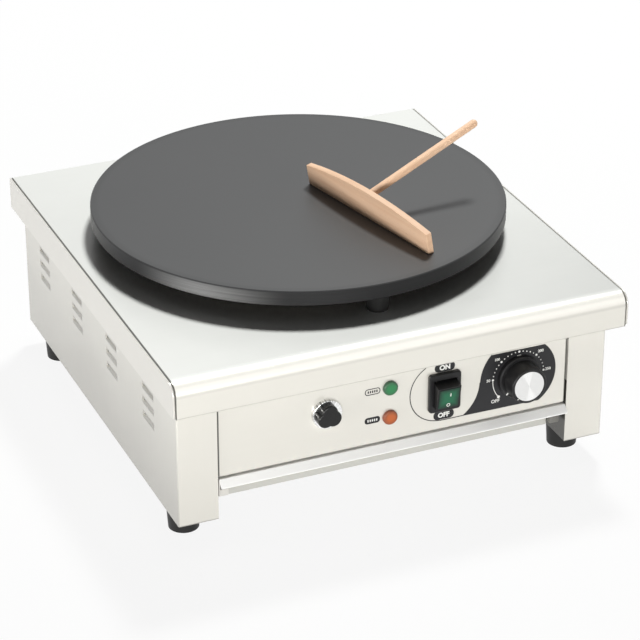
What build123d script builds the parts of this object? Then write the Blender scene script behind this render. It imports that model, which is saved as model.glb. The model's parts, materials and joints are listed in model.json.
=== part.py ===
from build123d import *
import os
from math import cos, radians, sin, tan

# Electric crepe maker: a sheet-steel housing on four rubber feet, a cast-iron plate on three
# supports, a crumb tray that slides out at the front, and a control panel with a thermostat knob,
# a rocker switch, two lamps and a reset button under its cap. A wooden spreader stands on the plate.
# Millimetres. X runs left to right, Y front to back, Z up. The origin is at the middle of the
# whole outline, on the surface that the feet stand on.

# ---- housing ----
COVER_WIDTH = 448.0          # over both end caps
COVER_DEPTH = 470.0          # front apron to rear apron
COVER_TOP_BEND = 12.0        # outer radius of the bend along the front edge
COVER_REAR_BEND = 2.5        # outer radius of the bend along the rear edge
CAP_LOWER_CORNER = 3.5       # rounded lower front corner of an end cap
APRON_HEIGHT = 33.0          # from the top of the cover to the edge of its apron
FOOT_HEIGHT = 25.0           # from the ground to the bottom of the housing
HOUSING_HEIGHT = 156.0       # from the bottom of the side panels to the underside of the cover
SIDE_OVERHANG = 10.0         # of the cover past a side panel
FRONT_OVERHANG = 22.0        # of the cover past the front legs
REAR_OVERHANG = 12.0         # of the cover past the side panels at the rear
SHEET = 1.5                  # sheet steel of cover, end caps, side panels and control panel
THIN_SHEET = 1.2             # sheet steel of base pan, tray, rails and rear panel
SEAM = 0.8                   # joint between the cover and an end cap
CABLE_PASSAGE = 45.0         # radius of the hole in the middle of the cover

# ---- side panels ----
LEG_WIDTH = 38.5             # of the front face beside the control panel
LEG_RETURN = 45.0            # depth of the inner side of a leg
TOP_FLANGE = 18.0            # flange that carries the cover
REAR_RETURN = 24.0           # flange that carries the rear panel
VENT_LENGTH = 29.5
VENT_HEIGHT = 5.0
VENT_ROWS = 3
VENT_COLUMNS = 4
VENT_ROW_PITCH = 15.0
VENT_COLUMN_PITCH = 100.0
VENT_MIDDLE_Y = 10.4         # middle of the pattern of vents
VENT_MIDDLE_Z = 112.5
LOUVRE_RISE = 3.2            # how far a louvre stands up behind its slot
LOUVRE_REACH = 4.5           # how far a louvre reaches in behind its slot

# ---- base, tray, rails ----
PAN_Z = 66.3                 # underside of the base pan
PAN_FRONT_GAP = 7.0          # from the front of the legs back to the pan
PAN_FLANGE = 16.0
TRAY_FLOOR_Z = 40.0
TRAY_WIDTH = 324.0
TRAY_LENGTH = 400.0
TRAY_FRONT_Y = -200.0        # outer face of the tray's front wall
TRAY_WALL = 11.5             # height of its side and rear walls
TRAY_FLANGE = 8.0            # flange that rides on the rail
LIP_SIDE_GAP = 1.0           # between the tray's lip and a leg
LIP_TOP_GAP = 0.5            # between the tray's shelf and the base pan
LIP_REACH = 6.0              # how far the slanted lip stands out and down
SHELF_DEPTH = 12.8           # from the tray's front wall to the bend of the lip
SHELF_WIDE = 6.3             # of that depth, the part that is as wide as the lip
RAIL_GAP = 1.0               # between the tray's flange and the rail's web
RAIL_LEDGE = 9.2             # how far the rail reaches in under the tray's flange
RAIL_FLANGE = 14.0           # flange under the base pan
RAIL_DROP = 6.8              # from the tray's flange down to the foot of the rail
RAIL_END = 1.2               # thickness of the turned-in front end of a rail
SLIDE_CLEARANCE = 0.2        # between tray and rail

# ---- feet ----
FOOT_BOTTOM_RADIUS = 14.3
FOOT_TOP_RADIUS = 16.0
FOOT_SIDE_INSET = 19.2       # from the outer face of a side panel to the middle of a foot
FOOT_END_INSET = 40.4        # from the front or rear of a side panel to the middle of a foot
FOOT_BOLT = 5.0              # thread of a foot screw
FOOT_BOLT_HEAD = 9.0
FOOT_BOLT_HEAD_HEIGHT = 4.0
FOOT_BORE_DEPTH = 14.0       # recess for the screw head
FOOT_NUT_HEIGHT = 4.0
FOOT_BOLT_END = 2.0          # length of thread past the nut

# ---- plate and heater ----
PLATE_RADIUS = 200.0
PLATE_THICKNESS = 15.0
PLATE_Y = 18.0               # middle of the plate behind the middle of the cover
PLATE_GAP = 16.0             # from the cover to the plate
PLATE_EDGE = 1.0             # bevel along the plate's edges
INNER_RING = 62.0            # radius of the inner heating element
ELEMENT_RADIUS = 4.0
ELEMENT_GAP_ANGLE = 14.0     # open angle between the two ends of an element
ELEMENT_TAIL = 24.0          # how far the ends hang below the elements
TAIL_HOLE = 8.0              # radius of the holes that the ends hang through
CLAMP_MARGIN = 20.0          # of the clamp past the outer heating element
CLAMP_THICKNESS = 1.5
INSULATION_THICKNESS = 5.0
SHIELD_MARGIN = 10.8         # between the insulation and the wall of the shield
CLAMP_STUD = 6.0             # thread of the studs that hold clamp, insulation and shield
CLAMP_STUD_DEPTH = 7.0       # of their threaded holes in the plate
CLAMP_STUD_END = 0.8         # length of thread past the nut
CLAMP_STUD_COUNT = 3
CLAMP_NUT_HEIGHT = 4.0
BULB_RADIUS = 3.0
BULB_LENGTH = 60.0
CAPILLARY_RADIUS = 1.0
CAPILLARY_BEND = 0.45        # share of the shorter run that a bend takes
CAPILLARY_START = 11.0       # straight length from the bulb to the first bend
CAPILLARY_END = 30.0         # straight length into the rear of the thermostat
CAPILLARY_OFFSET = 6.3       # beside and above the thermostat's axis
SUPPORT_INSET = 14.0         # from the rim of the plate to the middle of a support
SUPPORT_MARGIN = 16.0        # between a support and the heat shield
SUPPORT_TOP = 24.0
SUPPORT_BOTTOM = 20.0
SUPPORT_COUNT = 3
SUPPORT_FIRST_ANGLE = 270.0
PLATE_BOLT = 8.0
PLATE_BOLT_DEPTH = 8.0       # of the threaded hole in the plate
PLATE_NUT_HEIGHT = 6.5
PLATE_BOLT_END = 3.0         # length of thread past the nut

# ---- control panel ----
PANEL_RECESS = 2.5           # behind the front of the legs
PANEL_SIDE_GAP = 1.2
PANEL_TOP_GAP = 5.0          # below the underside of the cover
PANEL_RETURN = 12.0
PANEL_FOOT = 24.0            # flange that stands on the base pan
PANEL_SCREW_INSET = 24.0     # from a leg to the nearest screw of that flange
KNOB_SIDE_INSET = 50.2       # from the right leg to the axis of the knob
KNOB_TO_SWITCH = 76.9
SWITCH_TO_LAMPS = 54.5
LAMPS_TO_RESET = 62.9
KNOB_Z = 105.7
SWITCH_Z = 106.9             # also the middle between the two lamps
LAMP_PITCH = 30.5
RESET_Z = 109.4

# ---- thermostat and knob ----
KNOB_LENGTH = 22.5           # from the panel to the front of the knob
KNOB_SKIRT_RADIUS = 21.5
KNOB_SKIRT = 5.0
KNOB_RADIUS = 18.3
KNOB_TAPER = 0.7             # the body is this much narrower at its front
KNOB_SKIRT_EDGE = 1.2        # bevel of the skirt
KNOB_EDGE = 1.0              # rounding of the body's front edge
KNOB_CAVITY = 3.6            # hollow behind the skirt
KNOB_CAVITY_RADIUS = 19.0
KNOB_CAP_RADIUS = 15.2
KNOB_CAP_THICKNESS = 1.0
KNOB_CAP_EDGE = 0.3          # bevel of the cap
SHAFT_RADIUS = 3.0
SHAFT_FLAT = 0.9             # depth of the flat on the shaft
SHAFT_HOLE = 6.0             # radius of the hole in the panel
SHAFT_IN_KNOB = 14.0
SHAFT_IN_BODY = 10.0
THERMOSTAT_WIDTH = 44.0
THERMOSTAT_HEIGHT = 36.0
THERMOSTAT_DEPTH = 30.0
THERMOSTAT_SCREW_PITCH = 28.0
SMALL_SCREW = 4.0            # thread of the screws in sheet metal
SMALL_HEAD = 7.6
SMALL_HEAD_HEIGHT = 2.4
SMALL_SCREW_REACH = 4.5      # of a screw past the face of the sheet that it holds

# ---- switch ----
BEZEL_WIDTH = 32.0
BEZEL_HEIGHT = 39.5
BEZEL_THICKNESS = 4.0
BEZEL_CORNER = 3.0
BEZEL_EDGE = 0.9             # bevel around its front
ROCKER_WIDTH = 23.0
ROCKER_LENGTH = 24.5         # of the rocker's face
ROCKER_FACE = 11.8           # from the rocker's pivot to its face
ROCKER_BACK = 3.0            # from the pivot to the back of the rocker
ROCKER_TILT = 11.3           # either way from the middle
ROCKER_PIN = 1.5
ROCKER_PIN_LENGTH = 1.0
ROCKER_CLEARANCE = 0.3
PIVOT_DEPTH = 0.5            # of the pivot behind the face of the panel
SWITCH_WALL = 1.3            # beside the rocker
SWITCH_END_WALL = 2.6        # above and below the rocker
SWITCH_DEPTH = 30.0
SWITCH_CAVITY = 9.0          # depth of the rocker's space behind its pivot
LENS_BORDER = 1.6            # frame of the rocker around its lens
LENS_THICKNESS = 3.0
LENS_PROUD = 0.5
TAB_WIDTH = 6.3              # of the connector tabs
TAB_SHEET = 0.8
TAB_LENGTH = 9.0

# ---- lamps ----
LAMP_RADIUS = 7.2
LAMP_RIM = 1.8
LAMP_EDGE = 1.6              # rounding of the lens behind its front
LAMP_BARREL = 5.0
LAMP_BARREL_LENGTH = 24.0
LAMP_CLIP_RADIUS = 7.0
LAMP_CLIP = 2.0
LAMP_TAB_WIDTH = 3.2

# ---- overheat reset ----
RESET_RING_RADIUS = 14.7
RESET_RING_THICKNESS = 3.5
RESET_RING_EDGE = 1.2
RESET_NECK = 5.0             # radius of the limiter's threaded neck
RESET_NECK_LENGTH = 5.5      # from the panel
RESET_PIN = 2.4
RESET_PIN_LENGTH = 9.0
RESET_PIN_PROUD = 1.5        # also its travel
RESET_LOBE_RADIUS = 7.8
RESET_LOBE_CIRCLE = 4.2
RESET_CAP_LENGTH = 6.5       # from the panel's ring to the front of the cap
RESET_CAP_EDGE = 1.6
LIMITER_RADIUS = 14.0
LIMITER_DEPTH = 22.0

# ---- rear panel, mains entry, wiring points ----
REAR_PANEL_SIDE_GAP = 3.0    # between the rear panel's edge and the outside of a side panel
REAR_PANEL_BOTTOM = 62.0
REAR_PANEL_TOP_GAP = 3.0
REAR_SCREW_ROWS = 3
REAR_SCREW_EDGE = 12.0       # from the panel's edge to the screws at its corners
GLAND_SIDE_INSET = 64.0      # from the outside of the left side panel
GLAND_Z = 100.0
GLAND_HEX = 22.0
GLAND_HEX_THICKNESS = 5.0
GLAND_REACH = 10.8           # how far the gland stands out behind the rear panel
GLAND_DOME = 10.4            # radius of the cap nut behind the hexagon
GLAND_ROUND = 4.0            # its rounded end
GLAND_THREAD = 8.0           # radius
GLAND_THREAD_LENGTH = 9.0
GLAND_BORE = 4.5             # radius
LOCKNUT_THICKNESS = 4.0
TERMINAL_LENGTH = 62.0
TERMINAL_DEPTH = 22.0
TERMINAL_HEIGHT = 18.0
TERMINAL_COUNT = 5
TERMINAL_SCREW = 2.0
EARTH_TO_GLAND = 90.0        # sideways, towards the middle
EARTH_REAR_INSET = 33.0      # in front of the rear panel
EARTH_STUD = 5.0
EARTH_LENGTH = 18.0
EARTH_NUT = 4.0

# ---- spreader ----
SPREADER_LENGTH = 190.0
SPREADER_X = 41.9            # middle of the blade's lower edge
SPREADER_Y = -51.5
SPREADER_TURN = -77.6        # direction of the blade in plan, from +X
BLADE_LEAN = 10.4            # of the blade from upright
BLADE_THICKNESS = 6.0
BLADE_END = 21.0             # height of the blade at its ends
BLADE_MIDDLE = 30.0          # and in the middle
HANDLE_RADIUS = 4.0
HANDLE_LENGTH = 134.7        # from the back of the blade to the tip
HANDLE_SEAT = 22.7           # height of the handle's hole in the blade
HANDLE_RISE = 8.3            # of the handle from square to the blade
HANDLE_IN_BLADE = 4.0

# ---- fits ----
NUT_RATIO = 1.65             # width of a nut over its thread
FIT = 0.05                   # radial running fit
HOLE_CLEARANCE = 0.2         # radial, around a screw
GROOVE_CLEARANCE = 0.1       # around a heating element
KNOB_GAP = 0.4               # between knob and panel
HEAD_ROUNDING = 0.45         # share of a screw head's height
SLOT_DEPTH = 0.5             # share of a screw head's height
SLOT_LENGTH = 1.1            # share of a screw head's radius
SLOT_WIDTH = 0.25            # share of a screw head's radius
CAP_GAP = 0.3                # between the reset cap and its ring

# ---- places worked out from the sizes above ----
half_width = COVER_WIDTH / 2
front_y = -COVER_DEPTH / 2
rear_y = COVER_DEPTH / 2
body_x = half_width - SIDE_OVERHANG
body_front = front_y + FRONT_OVERHANG
body_rear = rear_y - REAR_OVERHANG
body_bottom = FOOT_HEIGHT
body_top = FOOT_HEIGHT + HOUSING_HEIGHT
cover_top = body_top + SHEET
apron_bottom = cover_top - APRON_HEIGHT
leg_inner = body_x - LEG_WIDTH
panel_face = body_front + PANEL_RECESS
panel_back = panel_face + SHEET
pan_top = PAN_Z + THIN_SHEET
plate_bottom = cover_top + PLATE_GAP
plate_top = plate_bottom + PLATE_THICKNESS
element_z = plate_bottom + ELEMENT_RADIUS
clamp_bottom = plate_bottom - CLAMP_THICKNESS
insulation_bottom = clamp_bottom - INSULATION_THICKNESS
shield_bottom = insulation_bottom - THIN_SHEET
tray_x = TRAY_WIDTH / 2
tray_flange_z = TRAY_FLOOR_Z + TRAY_WALL - THIN_SHEET
rail_web = tray_x + TRAY_FLANGE + RAIL_GAP
rear_face = body_rear + THIN_SHEET
rear_panel_x = body_x - REAR_PANEL_SIDE_GAP
support_circle = PLATE_RADIUS - SUPPORT_INSET
shield_radius = support_circle - SUPPORT_TOP / 2 - SUPPORT_MARGIN
clamp_radius = shield_radius - THIN_SHEET - SHIELD_MARGIN
outer_ring = clamp_radius - CLAMP_MARGIN - ELEMENT_RADIUS
stud_circle = (INNER_RING + outer_ring) / 2
bulb_end = BULB_LENGTH / 2
bulb_z = plate_bottom + BULB_RADIUS
knob_x = leg_inner - KNOB_SIDE_INSET
switch_x = knob_x - KNOB_TO_SWITCH
lamp_x = switch_x - SWITCH_TO_LAMPS
reset_x = lamp_x - LAMPS_TO_RESET
knob_back = panel_face - KNOB_GAP
knob_front = panel_face - KNOB_LENGTH
pivot_y = panel_face + PIVOT_DEPTH
ring_front = panel_face - RESET_RING_THICKNESS
neck_front = panel_face - RESET_NECK_LENGTH
gland_x = GLAND_SIDE_INSET - body_x
earth_x = gland_x + EARTH_TO_GLAND
earth_y = body_rear - EARTH_REAR_INSET
BASE_ALIGN = (Align.CENTER, Align.CENTER, Align.MIN)


# ---- helpers ----
def block(x0, x1, y0, y1, z0, z1):
    """A box between two corners."""
    middle = Pos((x0 + x1) / 2, (y0 + y1) / 2, (z0 + z1) / 2)
    return middle * Box(abs(x1 - x0), abs(y1 - y0), abs(z1 - z0))


def rod(radius, start, end, end_radius=None):
    """A round bar from one point to another, tapered if it has an end radius."""
    line = Vector(*end) - Vector(*start)
    place = Location(Plane(origin=start, z_dir=line))
    if end_radius is None or abs(end_radius - radius) < 1e-6:
        return place * Cylinder(radius, line.length, align=BASE_ALIGN)
    return place * Cone(radius, end_radius, line.length, align=BASE_ALIGN)


def hex_nut(across_flats, bore, start, end):
    """A hexagonal nut from one point to another."""
    line = Vector(*end) - Vector(*start)
    outline = RegularPolygon(across_flats / 2, 6, major_radius=False)
    nut = extrude(Plane(origin=start, z_dir=line) * outline, amount=line.length)
    return nut - rod(bore, start, end)


def round_edges(solid, direction, radius, **place):
    """Round the edges along one axis that lie at the given coordinates."""
    def lies_there(edge):
        middle = edge.center()
        spot = {"x": middle.X, "y": middle.Y, "z": middle.Z}
        return all(abs(spot[name] - value) < 1e-3 for name, value in place.items())
    return fillet(solid.edges().filter_by(direction).filter_by(lies_there), radius)


def pan_screw(radius, head_radius, head_height, seat, tip):
    """A screw with a rounded head: seat is the point under the head, tip the end of its thread."""
    along = (Vector(*seat) - Vector(*tip)).normalized()
    top = Vector(*seat) + along * head_height
    head = rod(head_radius, seat, tuple(top))
    rim = head.edges().group_by(lambda edge: -(edge.center() - top).length)[-1]
    head = fillet(rim, head_height * HEAD_ROUNDING)
    turn = Location(Plane(origin=tuple(top), z_dir=along))
    slot = Box(head_radius * SLOT_LENGTH, head_radius * SLOT_WIDTH, 2 * head_height * SLOT_DEPTH)
    head = head - turn * slot - turn * Rot(0, 0, 90) * slot
    return head + rod(radius, tip, seat)


def mirrored(solid):
    """The same piece on the other side of the appliance."""
    return mirror(solid, about=Plane.YZ)


def around_plate(angle, radius, z):
    """A point at an angle and radius about the middle of the plate."""
    return (radius * cos(radians(angle)), PLATE_Y + radius * sin(radians(angle)), z)


def support_points(z):
    """The middles of the supports at one height."""
    step = 360 / SUPPORT_COUNT
    return [around_plate(SUPPORT_FIRST_ANGLE + i * step, support_circle, z) for i in range(SUPPORT_COUNT)]


def stud_points(z):
    """The middles of the studs between the two heating elements at one height."""
    step = 360 / CLAMP_STUD_COUNT
    return [around_plate(SUPPORT_FIRST_ANGLE + i * step, stud_circle, z) for i in range(CLAMP_STUD_COUNT)]


def foot_points(z):
    """The middles of the feet at one height."""
    x = body_x - FOOT_SIDE_INSET
    rows = (body_front + FOOT_END_INSET, body_rear - FOOT_END_INSET)
    return [(side * x, y, z) for side in (-1, 1) for y in rows]


# ---- housing ----
def cover_profile(x0, x1, inset):
    """The cover's outline from the side as a solid, moved in by one inset all round."""
    solid = block(x0, x1, front_y + inset, rear_y - inset, apron_bottom, cover_top - inset)
    solid = round_edges(solid, Axis.X, COVER_TOP_BEND - inset, y=front_y + inset, z=cover_top - inset)
    return round_edges(solid, Axis.X, COVER_REAR_BEND - inset, y=rear_y - inset, z=cover_top - inset)


def tail_points(z):
    """The middles of the four ends of the heating elements at one height."""
    points = []
    for ring in (INNER_RING, outer_ring):
        for side in (-1, 1):
            points.append(around_plate(90 + side * ELEMENT_GAP_ANGLE / 2, ring, z))
    return points


def top_cover():
    side = half_width - SHEET - SEAM
    cover = cover_profile(-side, side, 0) - cover_profile(-side, side, SHEET)
    cover -= rod(CABLE_PASSAGE, (0, PLATE_Y, body_top), (0, PLATE_Y, cover_top))
    for x, y, z in support_points(body_top):
        cover -= rod(PLATE_BOLT / 2 + HOLE_CLEARANCE, (x, y, z), (x, y, cover_top))
    for x, y, z in tail_points(body_top):
        cover -= rod(TAIL_HOLE, (x, y, z), (x, y, cover_top))
    return cover


def end_cap():
    inner = half_width - SHEET
    cap = cover_profile(inner, half_width, 0)
    cap = round_edges(cap, Axis.X, CAP_LOWER_CORNER, y=front_y, z=apron_bottom)
    bend = COVER_TOP_BEND
    flange = block(body_x, inner, front_y + bend, rear_y - bend, body_top - SHEET, body_top)
    return cap + flange


def louvre_slots():
    """The middles of the vents of one side panel as pairs of y and z."""
    slots = []
    for column in range(VENT_COLUMNS):
        for row in range(VENT_ROWS):
            y = VENT_MIDDLE_Y + (column - (VENT_COLUMNS - 1) / 2) * VENT_COLUMN_PITCH
            z = VENT_MIDDLE_Z + (row - (VENT_ROWS - 1) / 2) * VENT_ROW_PITCH
            slots.append((y, z))
    return slots


def louvre(y, z):
    """A pressed-in blade that rises behind its slot from the lower edge."""
    inner = body_x - SHEET
    lower = z - VENT_HEIGHT / 2
    with_plane = Plane(origin=(0, y - VENT_LENGTH / 2, 0), x_dir=(1, 0, 0), z_dir=(0, 1, 0))
    points = [
        (body_x, -lower),
        (inner - LOUVRE_REACH, -(lower + LOUVRE_RISE)),
        (inner - LOUVRE_REACH, -(lower + LOUVRE_RISE - THIN_SHEET)),
        (inner, -(lower - THIN_SHEET)),
        (body_x, -(lower - THIN_SHEET)),
    ]
    return extrude(with_plane * make_face(Polyline(*points, close=True)), amount=VENT_LENGTH)


def side_panel():
    """The right side panel: outer wall, leg, and the flanges that carry its neighbours."""
    panel = block(body_x - SHEET, body_x, body_front, body_rear, body_bottom, body_top)
    panel += block(body_x - TOP_FLANGE, body_x, body_front, body_rear, body_top - SHEET, body_top)
    panel += block(leg_inner, body_x, body_front, body_front + SHEET, body_bottom, body_top)
    leg_end = body_front + LEG_RETURN
    panel += block(leg_inner, leg_inner + SHEET, body_front, leg_end, body_bottom, body_top - SHEET)
    panel += block(leg_inner, body_x, body_front, body_rear, body_bottom, body_bottom + SHEET)
    panel += block(body_x - REAR_RETURN, body_x, body_rear - SHEET, body_rear, body_bottom, body_top)
    panel = round_edges(panel, Axis.Z, SHEET, x=body_x, y=body_front)
    for y, z in louvre_slots():
        half = VENT_LENGTH / 2
        rise = VENT_HEIGHT / 2
        panel -= block(body_x - SHEET, body_x, y - half, y + half, z - rise, z + rise)
        panel += louvre(y, z)
    for x, y, z in foot_points(body_bottom):
        panel -= rod(FOOT_BOLT / 2 + HOLE_CLEARANCE, (x, y, z), (x, y, z + SHEET))
    for x, z in rear_screw_points():
        panel -= rod(SMALL_SCREW / 2, (x, body_rear - SHEET, z), (x, body_rear, z))
    return panel


def rear_screw_points():
    """The middles of the rear panel's screws as pairs of x and z."""
    x = rear_panel_x - REAR_SCREW_EDGE
    low = REAR_PANEL_BOTTOM + REAR_SCREW_EDGE
    high = body_top - REAR_PANEL_TOP_GAP - REAR_SCREW_EDGE
    step = (high - low) / (REAR_SCREW_ROWS - 1)
    return [(side * x, low + row * step) for side in (-1, 1) for row in range(REAR_SCREW_ROWS)]


def rear_panel():
    side = rear_panel_x
    top = body_top - REAR_PANEL_TOP_GAP
    panel = block(-side, side, body_rear, rear_face, REAR_PANEL_BOTTOM, top)
    for x, z in rear_screw_points():
        panel -= rod(SMALL_SCREW / 2 + HOLE_CLEARANCE, (x, body_rear, z), (x, rear_face, z))
    return panel - rod(GLAND_THREAD, (gland_x, body_rear, GLAND_Z), (gland_x, rear_face, GLAND_Z))


def rear_screws():
    screws = []
    for x, z in rear_screw_points():
        seat = (x, rear_face, z)
        tip = (x, body_rear - SMALL_SCREW_REACH, z)
        screws.append(pan_screw(SMALL_SCREW / 2, SMALL_HEAD / 2, SMALL_HEAD_HEIGHT, seat, tip))
    return screws


def panel_screw_points():
    """The middles of the screws that hold the foot of the control panel to the base pan."""
    span = leg_inner - PANEL_SCREW_INSET
    return [(x, panel_back + PANEL_FOOT - PANEL_RETURN / 2) for x in (-span, 0, span)]


def control_panel():
    side = leg_inner - PANEL_SIDE_GAP
    top = body_top - PANEL_TOP_GAP
    back = panel_back + PANEL_RETURN
    panel = block(-side, side, panel_face, panel_back, pan_top, top)
    panel += block(-side, -side + SHEET, panel_face, back, pan_top, top)
    panel += block(side - SHEET, side, panel_face, back, pan_top, top)
    panel += block(-side, side, panel_face, back, top - SHEET, top)
    panel += block(-side, side, panel_face, panel_back + PANEL_FOOT, pan_top, pan_top + SHEET)
    cut_half = ROCKER_WIDTH / 2 + ROCKER_CLEARANCE + SWITCH_WALL
    cut_rise = switch_opening() / 2 + SWITCH_END_WALL
    panel -= block(switch_x - cut_half, switch_x + cut_half, panel_face, panel_back,
                   SWITCH_Z - cut_rise, SWITCH_Z + cut_rise)
    holes = [(knob_x, KNOB_Z, SHAFT_HOLE)]
    holes += [(knob_x + side_x * THERMOSTAT_SCREW_PITCH / 2, KNOB_Z, SMALL_SCREW / 2 + HOLE_CLEARANCE)
              for side_x in (-1, 1)]
    holes += [(x, z, LAMP_BARREL) for x, z in lamp_points()]
    holes += [(reset_x, RESET_Z, RESET_NECK)]
    for x, z, radius in holes:
        panel -= rod(radius, (x, panel_face, z), (x, panel_back, z))
    for x, y in panel_screw_points():
        panel -= rod(SMALL_SCREW / 2, (x, y, pan_top), (x, y, pan_top + SHEET))
    return panel


def panel_screws():
    screws = []
    for x, y in panel_screw_points():
        seat = (x, y, PAN_Z)
        tip = (x, y, pan_top + SMALL_SCREW_REACH)
        screws.append(pan_screw(SMALL_SCREW / 2, SMALL_HEAD / 2, SMALL_HEAD_HEIGHT, seat, tip))
    return screws


# ---- base pan, tray, rails ----
def base_pan():
    side = body_x - SHEET
    front = body_front + PAN_FRONT_GAP
    rear = body_rear - SHEET
    leg_end = body_front + LEG_RETURN
    pan = block(-side, side, front, rear, PAN_Z, pan_top)
    for hand in (-1, 1):
        pan -= block(hand * leg_inner, hand * side, front, leg_end, PAN_Z, pan_top)
        wall = side - THIN_SHEET
        pan += block(hand * wall, hand * side, leg_end, rear, PAN_Z, pan_top + PAN_FLANGE)
    back = side - REAR_RETURN
    pan += block(-back, back, rear, rear - THIN_SHEET, PAN_Z, pan_top + PAN_FLANGE)
    for x, y in panel_screw_points():
        pan -= rod(SMALL_SCREW / 2 + HOLE_CLEARANCE, (x, y, PAN_Z), (x, y, pan_top))
    pan -= rod(EARTH_STUD / 2, (earth_x, earth_y, PAN_Z), (earth_x, earth_y, pan_top))
    return pan


def crumb_tray():
    rear = TRAY_FRONT_Y + TRAY_LENGTH
    top = TRAY_FLOOR_Z + TRAY_WALL
    shelf_top = PAN_Z - LIP_TOP_GAP
    shelf = shelf_top - THIN_SHEET
    lip_x = leg_inner - LIP_SIDE_GAP
    bend_y = TRAY_FRONT_Y - SHELF_DEPTH
    tray = block(-tray_x, tray_x, TRAY_FRONT_Y, rear, TRAY_FLOOR_Z, TRAY_FLOOR_Z + THIN_SHEET)
    tray += block(-tray_x, tray_x, TRAY_FRONT_Y, TRAY_FRONT_Y + THIN_SHEET, TRAY_FLOOR_Z, shelf_top)
    tray += block(-tray_x, tray_x, rear - THIN_SHEET, rear, TRAY_FLOOR_Z, top)
    for hand in (-1, 1):
        wall = tray_x - THIN_SHEET
        tray += block(hand * wall, hand * tray_x, TRAY_FRONT_Y, rear, TRAY_FLOOR_Z, top)
        flange = tray_x + TRAY_FLANGE
        tray += block(hand * wall, hand * flange, TRAY_FRONT_Y, rear, tray_flange_z, top)
    tray += block(-tray_x, tray_x, bend_y, TRAY_FRONT_Y + THIN_SHEET, shelf, shelf_top)
    tray += block(-lip_x, lip_x, bend_y, bend_y + SHELF_WIDE, shelf, shelf_top)
    return tray + tray_lip(lip_x, bend_y, shelf_top)


def tray_lip(lip_x, bend_y, shelf_top):
    """The slanted lip in front of the tray's shelf."""
    plane = Plane(origin=(-lip_x, 0, 0), x_dir=(0, 1, 0), z_dir=(1, 0, 0))
    points = [
        (bend_y, shelf_top),
        (bend_y - LIP_REACH, shelf_top - LIP_REACH),
        (bend_y - LIP_REACH, shelf_top - LIP_REACH - THIN_SHEET),
        (bend_y, shelf_top - THIN_SHEET),
    ]
    return extrude(plane * make_face(Polyline(*points, close=True)), amount=2 * lip_x)


def tray_rail():
    """The right rail: a web under the base pan, a ledge, and an edge that the tray's flange rides on."""
    front = TRAY_FRONT_Y - SHELF_DEPTH + SHELF_WIDE + LIP_TOP_GAP
    rear = TRAY_FRONT_Y + TRAY_LENGTH
    ride = tray_flange_z - SLIDE_CLEARANCE
    foot = tray_flange_z - RAIL_DROP
    web = rail_web
    edge = web + THIN_SHEET - RAIL_LEDGE
    rail = block(web, web + THIN_SHEET, front, rear, foot, PAN_Z)
    rail += block(edge, web + THIN_SHEET, front, rear, foot, foot + THIN_SHEET)
    rail += block(edge, edge + THIN_SHEET, front, rear, foot, ride)
    rail += block(edge, web + THIN_SHEET, front, front + RAIL_END, foot, ride)
    rail += block(web, web + RAIL_FLANGE, front + LEG_RETURN, rear, PAN_Z - THIN_SHEET, PAN_Z)
    return rail


# ---- feet ----
def rubber_feet():
    feet = []
    for x, y, z in foot_points(0):
        foot = rod(FOOT_BOTTOM_RADIUS, (x, y, z), (x, y, FOOT_HEIGHT), FOOT_TOP_RADIUS)
        foot -= rod(FOOT_BOLT_HEAD / 2 + HOLE_CLEARANCE, (x, y, z), (x, y, FOOT_BORE_DEPTH))
        foot -= rod(FOOT_BOLT / 2, (x, y, FOOT_BORE_DEPTH), (x, y, FOOT_HEIGHT))
        feet.append(foot)
    return feet


def foot_screws():
    screws = []
    tip_z = body_bottom + SHEET + FOOT_NUT_HEIGHT + FOOT_BOLT_END
    head = FOOT_BOLT_HEAD / 2
    for x, y, z in foot_points(FOOT_BORE_DEPTH):
        screws.append(pan_screw(FOOT_BOLT / 2, head, FOOT_BOLT_HEAD_HEIGHT, (x, y, z), (x, y, tip_z)))
    return screws


def foot_nuts():
    bottom = body_bottom + SHEET
    top = bottom + FOOT_NUT_HEIGHT
    across = FOOT_BOLT * NUT_RATIO
    return [hex_nut(across, FOOT_BOLT / 2, (x, y, bottom), (x, y, top)) for x, y, z in foot_points(0)]


# ---- plate and heater ----
def plate_solid(radius, z0, z1):
    """A disc about the middle of the plate."""
    return rod(radius, (0, PLATE_Y, z0), (0, PLATE_Y, z1))


def crepe_plate():
    plate = plate_solid(PLATE_RADIUS, plate_bottom, plate_top)
    plate = chamfer(plate.edges(), PLATE_EDGE)
    groove_top = plate_bottom + 2 * ELEMENT_RADIUS + GROOVE_CLEARANCE
    groove_half = ELEMENT_RADIUS + GROOVE_CLEARANCE
    for ring in (INNER_RING, outer_ring):
        groove = plate_solid(ring + groove_half, plate_bottom, groove_top)
        plate -= groove - plate_solid(ring - groove_half, plate_bottom, groove_top)
    bulb = BULB_RADIUS + GROOVE_CLEARANCE
    far = bulb_end + CAPILLARY_START + TAIL_HOLE
    plate -= block(bulb_end - BULB_LENGTH, far, PLATE_Y - bulb, PLATE_Y + bulb,
                   plate_bottom, plate_bottom + 2 * bulb)
    for x, y, z in support_points(plate_bottom):
        plate -= rod(PLATE_BOLT / 2, (x, y, z), (x, y, z + PLATE_BOLT_DEPTH))
    for x, y, z in stud_points(plate_bottom):
        plate -= rod(CLAMP_STUD / 2, (x, y, z), (x, y, z + CLAMP_STUD_DEPTH))
    return plate


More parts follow.
